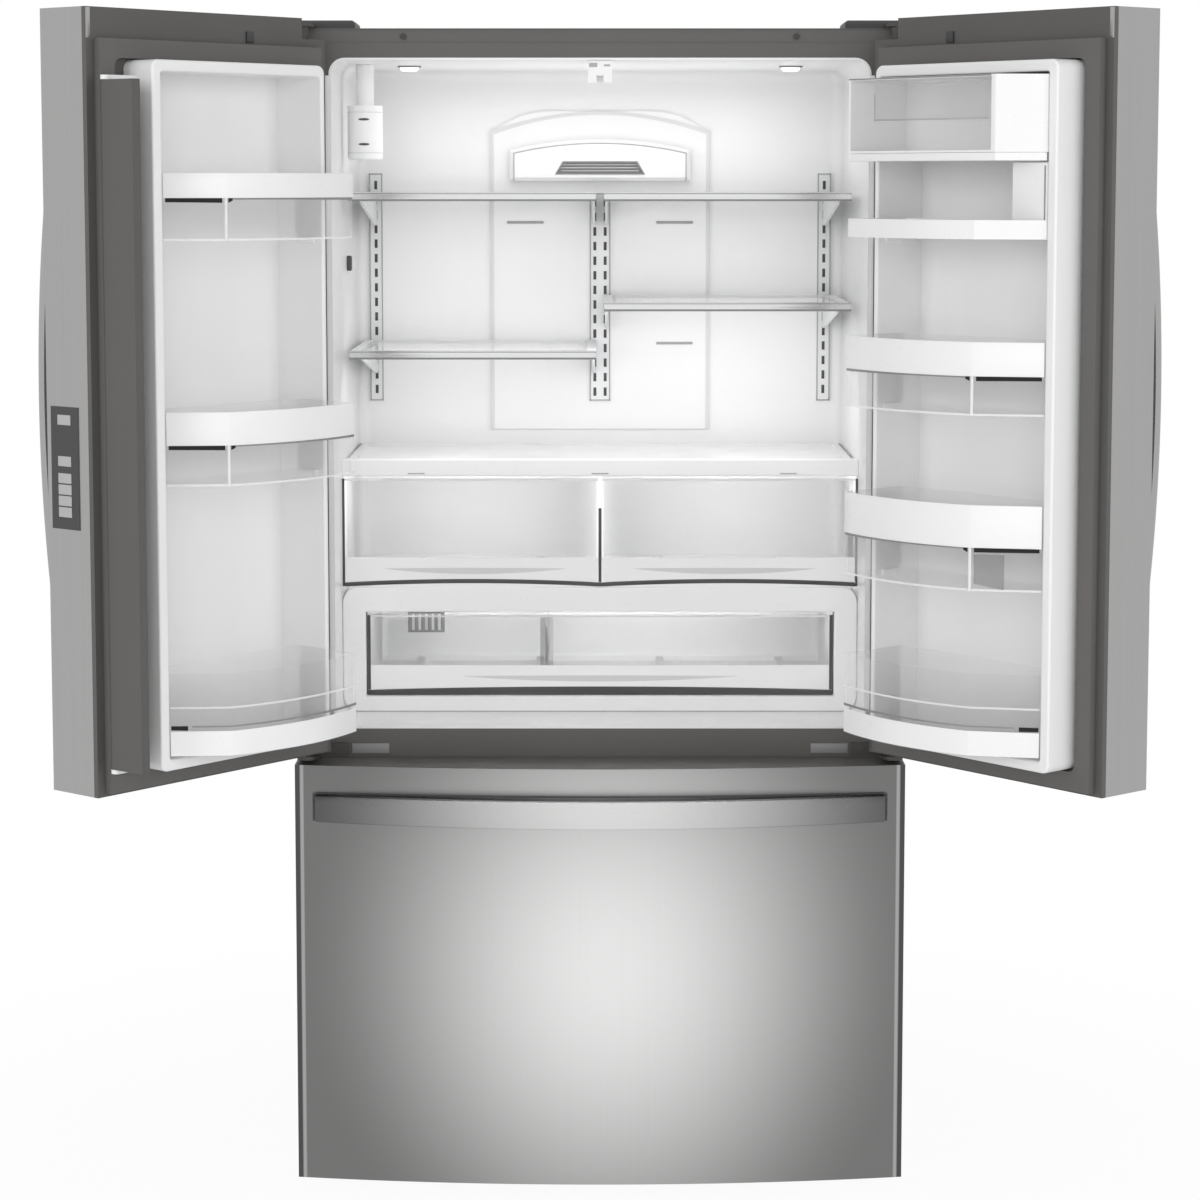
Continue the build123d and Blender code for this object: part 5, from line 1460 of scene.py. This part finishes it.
@dataclass
class Pans:
    """Fronts, painted pull shade and painted gap shadows of the crispers and the pantry drawer."""

    pulls: tuple[tuple[str, Flat], ...] = (
        ("left_crisper", (0.15, 0.88)),
        ("right_crisper", (0.12, 0.85)),
        ("pantry_drawer", (0.20, 0.80)),
    )
    front: float = 0.138
    bow: float = 0.006
    rise: float = 0.006
    front_h: float = 0.039
    panel_t: float = 0.0006
    skin: float = 0.0002
    pull_level: float = 0.56
    pull_drop: float = 0.008
    pull_lift: float = 0.0015
    rim_z: Flat = (0.003, 0.0004)
    gap_h: float = 0.0062
    pantry_gap_h: float = 0.008
    pantry_gap_top: float = 0.004
    gap_play: float = 0.0004
    gap_y: Flat = (0.001, 0.003)
    crisper_gap_y: Flat = (-0.002, 0.002)
    pantry_gap_y: Flat = (-0.003, 0.0)
    side_w: float = 0.0045
    post_w: float = 0.0048
    post_h: float = 0.115
    lip_z: float = 0.1937
    lip_h: float = 0.0005
    lip_proud: float = 0.001
    divider_x: float = -0.083
    divider_y: float = 0.020
    divider_w: float = 0.020
    divider_t: float = 0.002
    divider_inset: float = 0.006
    divider_edge: float = 0.0008
    grille: tuple[float, float, float, float] = (-0.319, -0.258, 0.772, 0.807)
    grille_y: float = 0.003
    grille_t: float = 0.0016
    grille_h: float = 0.004
    grille_w: float = 0.0065
    grille_edge: float = 0.0004
    cover_side: float = 0.0022
    cover_line: float = 0.0032
    cover_y: float = 0.010
    cover_z: Flat = (0.020, 0.0206)
    vent_x: tuple[float, ...] = (-0.283, 0.0, 0.290)
    vent_w: float = 0.026
    vent_y: Flat = (-0.0004, 0.0003)
    vent_z: Flat = (0.0035, 0.0055)
    count: int = 16

    def build(self) -> None:
        """Add the fronts, the painted gap shadows, the grille and the cover's trim."""
        for pan, pull in self.pulls:
            self.dress(pan, pull)
        self.gap_shadows()
        self.housing_lips()
        self.pantry_sides()
        self.pantry_grille()
        self.cover_trim()

    def on_front(self, span: Flat, share: float, proud: float, z: float) -> Point:
        """Point on a pan's bowed front.

        Args:
            span: Left and right end of the front.
            share: Share of the span.
            proud: How far the point stands in front.
            z: Its height.

        Returns:
            The point.
        """
        left, right = span
        return (left + (right - left) * share, depth(self.front) - proud - self.bow * arch(share), z)

    def panel(
        self,
        span: Flat,
        low: Callable[[float], float],
        high: Callable[[float], float],
        proud: float,
        wall: float,
    ) -> bpy.types.Object:
        """A strip on a pan's bowed front.

        Args:
            span: Left and right end.
            low: Lower edge at a share of the span.
            high: Upper edge at a share of the span.
            proud: How far it stands in front.
            wall: Its thickness.

        Returns:
            The new piece.
        """
        shares = steps(0.0, 1.0, self.count)
        lower, upper = (
            [self.on_front(span, share, proud, height(share)) for share in shares] for height in (low, high)
        )
        return Bench.ribbon(lower, upper, wall, FORWARD)

    def dress(self, pan: str, pull: Flat) -> None:
        """White lower front with the painted shade of a scooped pull, the painted shadow of the gap under it
        and the clear rim.

        Args:
            pan: The pan, which is also its body.
            pull: Ends of the pull as shares of the front.
        """
        low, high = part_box(pan)
        span = (low.x, high.x)
        base, top = low.z, low.z + self.front_h
        white = self.panel(
            span, lambda t: base + self.rise * arch(t), lambda t: top, self.skin, self.panel_t
        )
        Bench.finish(white, f"{pan}_front", "white_moulding", pan)
        # Painted shadow in the gap under the white front
        gap = self.panel(
            span,
            lambda t: base,
            lambda t: base + self.rise * arch(t) + self.skin,
            self.skin / 2,
            self.panel_t / 2,
        )
        Bench.finish(gap, f"{pan}_gap", "dark_grey_and_painted_shadow", pan)
        # Lens-shaped grey strip: painted shade of the scooped pull
        middle, proud = base + self.front_h * self.pull_level, self.skin + self.panel_t
        lower, upper = [], []
        for t in steps(0.0, 1.0, self.count):
            share = pull[0] + (pull[1] - pull[0]) * t
            lower.append(self.on_front(span, share, proud, middle - self.pull_drop * arch(t)))
            upper.append(self.on_front(span, share, proud, middle + self.pull_lift * arch(t)))
        Bench.finish(Bench.ribbon(lower, upper, self.skin, FORWARD), f"{pan}_pull", "pull_grey", pan)
        rim_low, rim_high = (high.z - drop for drop in self.rim_z)
        bead = self.panel(span, lambda t: rim_low, lambda t: rim_high, self.skin, self.panel_t / 2)
        Bench.finish(bead, f"{pan}_rim", "clear_rim", pan)

    def gap_shadows(self) -> None:
        """Painted shadows in the gaps round the crispers and the pantry drawer."""
        crisper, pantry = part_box("right_crisper"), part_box("pantry_drawer")
        face = depth(self.front)
        (near, far), (crisper_near, crisper_far), (pantry_near, pantry_far) = (
            [face + back for back in layer] for layer in (self.gap_y, self.crisper_gap_y, self.pantry_gap_y)
        )
        side, wide = crisper[1].x, pantry[1].x
        base, floor = crisper[0].z, pantry[0].z
        under, pantry_under = base - self.gap_h, floor - self.pantry_gap_h
        half, play = self.post_w / 2, self.gap_play
        bars = [
            ((-half, near, base), (half, far, base + self.post_h)),
            ((-side, crisper_near, under), (side, crisper_far, base - play)),
            ((-wide, pantry_near, pantry_under), (wide, pantry_far, floor - play)),
        ]
        uprights = (
            (side, under, crisper[1].z),
            (wide, pantry_under, pantry[1].z + self.pantry_gap_top),
        )
        for way in (-1, 1):
            for edge, low, high in uprights:
                left, right = sorted((way * (edge + play), way * (edge + self.side_w)))
                bars.append(((left, near, low), (right, far, high)))
        pieces = [Bench.block(low, high, FINE_EDGE) for low, high in bars]
        Bench.finish(pieces, "pan_gap_shadows", "dark_grey_and_painted_shadow", "cabinet")

    def housing_lips(self) -> None:
        """Bowed white lips of the pantry housing under the two crispers."""
        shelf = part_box("pantry_housing")[0].z + self.lip_z
        for word in ("left", "right"):
            low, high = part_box(f"{word}_crisper")
            lip = self.panel(
                (low.x, high.x),
                lambda t: shelf,
                lambda t: shelf + self.lip_h + self.rise * arch(t),
                self.lip_proud,
                self.panel_t,
            )
            Bench.finish(lip, f"{word}_housing_lip", "white_moulding", "cabinet")

    def pantry_sides(self) -> None:
        """Painted shadows of the gaps at the ends of the pantry drawer's front, and the pale edge of its
        divider.
        """
        low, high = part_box("pantry_drawer")
        span, proud = (low.x, high.x), self.skin + self.panel_t
        width = self.side_w / (high.x - low.x)
        strips = []
        for ends in ((0.0, width), (1.0 - width, 1.0)):
            lower, upper = ([self.on_front(span, end, proud, z) for end in ends] for z in (low.z, high.z))
            strips.append(Bench.ribbon(lower, upper, self.skin / 2, FORWARD))
        Bench.finish(strips, "pantry_side_gap_shadows", "dark_grey_and_painted_shadow", "pantry_drawer")
        x, y, half = self.divider_x, depth(self.front + self.divider_y), self.divider_w / 2
        base, top = low.z + self.divider_inset, high.z - self.divider_inset
        edge = Bench.block((x - half, y, base), (x + half, y + self.divider_t, top), self.divider_edge)
        Bench.finish(edge, "pantry_divider_edge", "pale_tint", "pantry_drawer")

    def pantry_grille(self) -> None:
        """Small air grille on the back of the pantry's housing."""
        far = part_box("pantry_housing")[1].y - self.grille_y
        near = far - self.grille_t
        left, right, low, top = self.grille
        inner_low, inner_top = low + self.grille_h, top - self.grille_h
        spans = [(left, right, low, inner_low), (left, right, inner_top, top)]
        spans += [
            (x, x + self.grille_w, inner_low, inner_top) for x in steps(left, right - self.grille_w, 5)
        ]
        bars = [
            Bench.block((start, near, base), (end, far, head), self.grille_edge)
            for start, end, base, head in spans
        ]
        Bench.finish(bars, "pantry_grille", "grey_trim", "cabinet")

    def cover_trim(self) -> None:
        """Grey edges and small vents of the crisper cover."""
        low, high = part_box("crisper_cover")
        base, top = (low.z + lift for lift in self.cover_z)
        half, near = self.cover_line / 2, low.y + self.cover_y
        edges = [
            Bench.block((x - half, near, base), (x + half, high.y, top), FINE_EDGE)
            for x in (self.cover_side - high.x, high.x - self.cover_side)
        ]
        Bench.finish(edges, "cover_edges", "grey_trim", "cabinet")
        near, far = (low.y + back for back in self.vent_y)
        base, top = (low.z + lift for lift in self.vent_z)
        half = self.vent_w / 2
        vents = [Bench.block((x - half, near, base), (x + half, far, top), FINE_EDGE) for x in self.vent_x]
        Bench.finish(vents, "cover_vents", "soft_grey", "cabinet")


@dataclass
class CaseFront:
    """Small metalwork on the front of the case, and the drawer's handle."""

    plate_x: float = 0.346
    plate_z: float = 0.667
    plate_half: Flat = (0.028, 0.0075)
    plate_t: float = 0.002
    plate_edge: float = 0.0008
    screw_x: float = 0.290
    screw_z: float = 1.731
    screw_r: float = 0.0045
    screw_h: float = 0.002
    crown: float = 0.036
    fit: float = 0.0003
    grip_toe: float = 0.012
    grip_foot: float = 0.034
    grip_wall: float = 0.012
    grip_edge: float = 0.0035
    grip_steps: int = 40
    end_w: float = 0.0035
    end_y: Flat = (-0.0012, 0.0004)
    end_over: float = 0.0005
    top_z: Flat = (-0.0006, 0.0022)
    top_t: float = 0.0012

    def build(self) -> None:
        """Add the crossbar plates, the rail's screws and the drawer's handle."""
        self.plates()
        self.screws()
        self.grip()
        self.grip_gaps()

    def plates(self) -> None:
        """Small plates on the crossbar over the drawer."""
        half_w, half_h = self.plate_half
        low, high = self.plate_z - half_h, self.plate_z + half_h
        near, far = depth(-self.plate_t), depth(0.0)
        plates = [
            Bench.block((x - half_w, near, low), (x + half_w, far, high), self.plate_edge)
            for x in (-self.plate_x, self.plate_x)
        ]
        Bench.finish(plates, "crossbar_plates", "grey_trim", "cabinet")

    def screws(self) -> None:
        """Two screws in the rail over the opening."""
        screws = [
            Bench.disc((x, depth(0.0), self.screw_z), self.screw_r, self.screw_h, Axis.Y)
            for x in (-self.screw_x, self.screw_x)
        ]
        Bench.finish(screws, "rail_screws", "black_plastic", "cabinet")

    def face(self, x: float) -> float:
        """Place along Y of the drawer's curved steel at a distance from its middle."""
        low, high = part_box("freezer_front_skin")
        return low.y + sag(x, high.x, self.crown)

    def grip(self) -> None:
        """Bowed handle of the drawer with rounded edges, in place of its plain solid."""
        low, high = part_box("freezer_handle")
        foot = high.x - self.grip_foot
        hollow = low.y + self.grip_wall
        bow = high.y - self.grip_toe - low.y
        rise = self.face(foot) - self.fit - hollow
        inner, outer = [], []
        for x in [-high.x, *steps(-foot, foot, self.grip_steps), high.x]:
            on_foot = abs(x) > foot
            inner.append((x, self.face(x) - self.fit if on_foot else hollow + sag(x, foot, rise), low.z))
            outer.append((x, low.y + sag(x, high.x, bow), low.z))
        bar = Bench.ribbon(inner, outer, high.z - low.z, (0.0, 0.0, 1.0), self.grip_edge)
        Bench.finish(bar, "freezer_handle_bar", "drawer_handle_steel", "freezer_drawer")
        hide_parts("freezer_handle")

    def grip_gaps(self) -> None:
        """Dark shadow gaps at the two ends and along the top of the drawer's handle."""
        low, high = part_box("freezer_handle")
        x, half = high.x + self.end_w / 2, self.end_w / 2
        near, far = (self.face(x) + back for back in self.end_y)
        base, top = low.z - self.end_over, high.z + self.end_over
        ends = [
            Bench.block((end - half, near, base), (end + half, far, top), THIN_EDGE) for end in (-x, x)
        ]
        Bench.finish(ends, "handle_end_gaps", "dark_grey_and_painted_shadow", "freezer_drawer")
        places = steps(low.x, high.x, self.grip_steps)
        lower, upper = ([(at, self.face(at), high.z + lift) for at in places] for lift in self.top_z)
        shadow = Bench.ribbon(lower, upper, self.top_t, FORWARD)
        Bench.finish(shadow, "handle_top_gap", "dark_grey_and_painted_shadow", "freezer_drawer")


@dataclass
class CaseBack:
    """Screws and stiffening beads on the back of the case."""

    inset: float = 0.018
    screw_r: float = 0.0055
    screw_h: float = 0.003
    screw_rows: int = 6
    screw_x: float = 0.22
    bead_h: float = 0.010
    bead_t: float = 0.0025
    bead_edge: float = 0.0012
    beads: tuple[float, ...] = (0.62, 1.02, 1.42)
    cover: tuple[float, float, float] = (0.405, 0.080, 0.420)
    cover_inset: Flat = (0.02, 0.012)
    cover_screws: int = 4
    rim_w: float = 0.006
    rim_edge: float = 0.0008

    def build(self) -> None:
        """Add the screws, the beads and the rim of the lower cover."""
        low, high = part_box("rear_panel")
        half, base, top = self.cover
        rows = steps(low.z + self.inset, high.z - self.inset, self.screw_rows)
        edge_x = high.x - self.inset
        places = [(x, z) for x in (-edge_x, edge_x) for z in rows]
        places += [(x, z) for x in (-self.screw_x, self.screw_x) for z in (rows[0], rows[-1])]
        side, drop = self.cover_inset
        places += [(x, top - drop) for x in steps(side - half, half - side, self.cover_screws)]
        y = high.y + self.screw_h / 2
        screws = [Bench.disc((x, y, z), self.screw_r, self.screw_h, Axis.Y) for x, z in places]
        Bench.finish(screws, "rear_screws", "plain_steel", "cabinet")
        face, rise = high.y + self.bead_t, self.bead_h / 2
        ribs = [
            Bench.block((-half, high.y, z - rise), (half, face, z + rise), self.bead_edge)
            for z in self.beads
        ]
        Bench.finish(ribs, "rear_beads", "rear_sheet", "cabinet")
        bars = Bench.outline((-half, half), (high.y, face), (base, top), self.rim_w, self.rim_edge)
        Bench.finish(bars, "rear_cover_rim", "rear_sheet", "cabinet")


@dataclass(frozen=True)
class Lamp:
    """A soft lamp that only lights, and isn't seen itself."""

    name: str
    place: Point
    aim: Point
    size: Flat
    power: float

    def hang(self) -> None:
        """Set the lamp in the scene."""
        data = bpy.data.lights.new(self.name, "AREA")
        data.shape = "RECTANGLE"
        data.size, data.size_y = self.size
        data.energy = self.power
        lamp = bpy.data.objects.new(self.name, data)
        lamp.location = self.place
        lamp.rotation_euler = (Vector(self.aim) - Vector(self.place)).to_track_quat("-Z", "Y").to_euler()
        lamp.visible_camera = False
        lamp.visible_glossy = False
        bpy.context.scene.collection.objects.link(lamp)


# Soft lamps of the studio, and faint ones in the fresh food space
LAMPS = (
    Lamp("front_softbox", (0.0, -5.2, 1.7), (0.0, 0.0, 1.1), (3.0, 2.4), 64.0),
    Lamp("left_softbox", (-3.4, -2.8, 2.2), (0.0, 0.0, 1.0), (1.6, 2.0), 32.0),
    Lamp("right_softbox", (3.4, -2.8, 2.2), (0.0, 0.0, 1.0), (1.6, 2.0), 32.0),
    Lamp("ceiling_glow", (0.0, depth(0.27), 1.665), (0.0, depth(0.27), 0.7), (0.6, 0.3), 0.5),
    Lamp("upper_glow", (0.0, depth(0.22), 1.515), (0.0, depth(0.22), 1.9), (0.6, 0.25), 0.42),
    Lamp("shelf_glow", (0.0, depth(0.15), 1.24), (0.0, depth(0.49), 1.0), (0.7, 0.2), 0.7),
    Lamp("left_crisper_glow", (-0.20, depth(0.17), 1.056), (-0.20, depth(0.49), 0.95), (0.32, 0.06), 0.74),
    Lamp("right_crisper_glow", (0.20, depth(0.17), 1.056), (0.20, depth(0.49), 0.95), (0.32, 0.06), 0.74),
    Lamp("pantry_glow", (0.0, depth(0.17), 0.846), (0.0, depth(0.49), 0.77), (0.62, 0.04), 1.25),
)


@dataclass
class Studio:
    """Pale floor, soft lights and the camera."""

    lens: float = 90.67
    sensor: float = 36.0
    distance: float = 4.5003
    eye: float = 1.5209
    pitch: float = math.radians(5.675)
    shift: float = -0.10
    sky: float = 0.55
    floor_size: float = 60.0
    floor_drop: float = 0.0005
    floor_cloud: float = 0.6
    floor_tones: Flat = (0.90, 0.92)
    floor_roughness: float = 0.9
    floor_white: float = 0.95
    floor_fade: Flat = (0.6, 1.8)

    def build(self) -> None:
        """Set the whole studio."""
        self.world()
        self.floor()
        for lamp in LAMPS:
            lamp.hang()
        self.camera()

    def camera(self) -> None:
        """Set the camera at the photograph's viewing angle."""
        data = bpy.data.cameras.new("camera")
        data.lens = self.lens
        data.sensor_width = self.sensor
        data.shift_y = self.shift
        camera = bpy.data.objects.new("camera", data)
        camera.location = (0.0, depth(-self.distance), self.eye)
        camera.rotation_euler = (math.pi / 2 - self.pitch, 0.0, 0.0)
        bpy.context.scene.collection.objects.link(camera)
        bpy.context.scene.camera = camera

    @staticmethod
    def seen(tree: bpy.types.NodeTree) -> bpy.types.NodeSocket:
        """A value of 1 for rays from the camera, mirrors and glass, else 0."""
        path = tree.nodes.new("ShaderNodeLightPath")
        value = path.outputs["Is Camera Ray"]
        for name in ("Is Glossy Ray", "Is Transmission Ray"):
            larger = tree.nodes.new("ShaderNodeMath")
            larger.operation = "MAXIMUM"
            tree.links.new(value, larger.inputs[0])
            tree.links.new(path.outputs[name], larger.inputs[1])
            value = larger.outputs["Value"]
        return value

    def floor(self) -> None:
        """A broad pale floor that fades to white and keeps the object's shadow."""
        Bench.clear()
        bpy.ops.mesh.primitive_plane_add(size=self.floor_size, location=(0.0, 0.0, -self.floor_drop))
        floor = bpy.context.object
        floor.name = "floor"
        board = NodeBoard("pale_floor")
        cloud = board.noise((self.floor_cloud,) * 3, 2.0)
        dark, pale = ((tone,) * 3 for tone in self.floor_tones)
        board.feed("Base Color", board.blend(board.spread(cloud, 0.0, 1.0), dark, pale))
        board.hold("Roughness", self.floor_roughness)
        board.hold("Specular IOR Level", 0.0)
        white = board.add("ShaderNodeEmission")
        white.inputs["Color"].default_value = (*WHITE, 1.0)
        away = board.distance((1.0, 1.0, 0.0))
        share = board.spread(away, self.floor_white, 1.0, *self.floor_fade, "SMOOTHSTEP")
        amount = board.add("ShaderNodeMath", operation="MULTIPLY")
        board.join(share, amount.inputs[0])
        board.join(self.seen(board.tree), amount.inputs[1])
        mix = board.add("ShaderNodeMixShader")
        board.join(amount.outputs["Value"], mix.inputs["Fac"])
        board.join(board.shader.outputs["BSDF"], mix.inputs[1])
        board.join(white.outputs["Emission"], mix.inputs[2])
        board.join(mix.outputs["Shader"], board.tree.nodes["Material Output"].inputs["Surface"])
        floor.data.materials.append(board.material)

    def world(self) -> None:
        """Plain surroundings that look white."""
        world = bpy.data.worlds.new("surroundings")
        world.use_nodes = True
        tree = world.node_tree
        background = tree.nodes["Background"]
        background.inputs["Color"].default_value = (*WHITE, 1.0)
        strength = tree.nodes.new("ShaderNodeMapRange")
        strength.inputs["To Min"].default_value = self.sky
        strength.inputs["To Max"].default_value = 1.0
        tree.links.new(self.seen(tree), strength.inputs["Value"])
        tree.links.new(strength.outputs["Result"], background.inputs["Strength"])
        bpy.context.scene.world = world


def dress_solids() -> None:
    """Give every solid its finish."""
    for paint, nodes in NODE_FINISH.items():
        for node in nodes:
            materials = frame["nodes"][node].data.materials
            materials.clear()
            materials.append(Bench.materials[paint])


def main() -> None:
    """Dress the refrigerator and set the studio."""
    logging.basicConfig(level=logging.INFO, format="%(name)s: %(message)s")
    bpy.context.scene.view_settings.view_transform = "Standard"
    Bench.mix_paints()
    dress_solids()
    for part in (LeftDoor(), RightDoor(), Interior(), Pans(), CaseFront(), CaseBack(), Studio()):
        part.build()


if __name__ == "__main__":
    main()
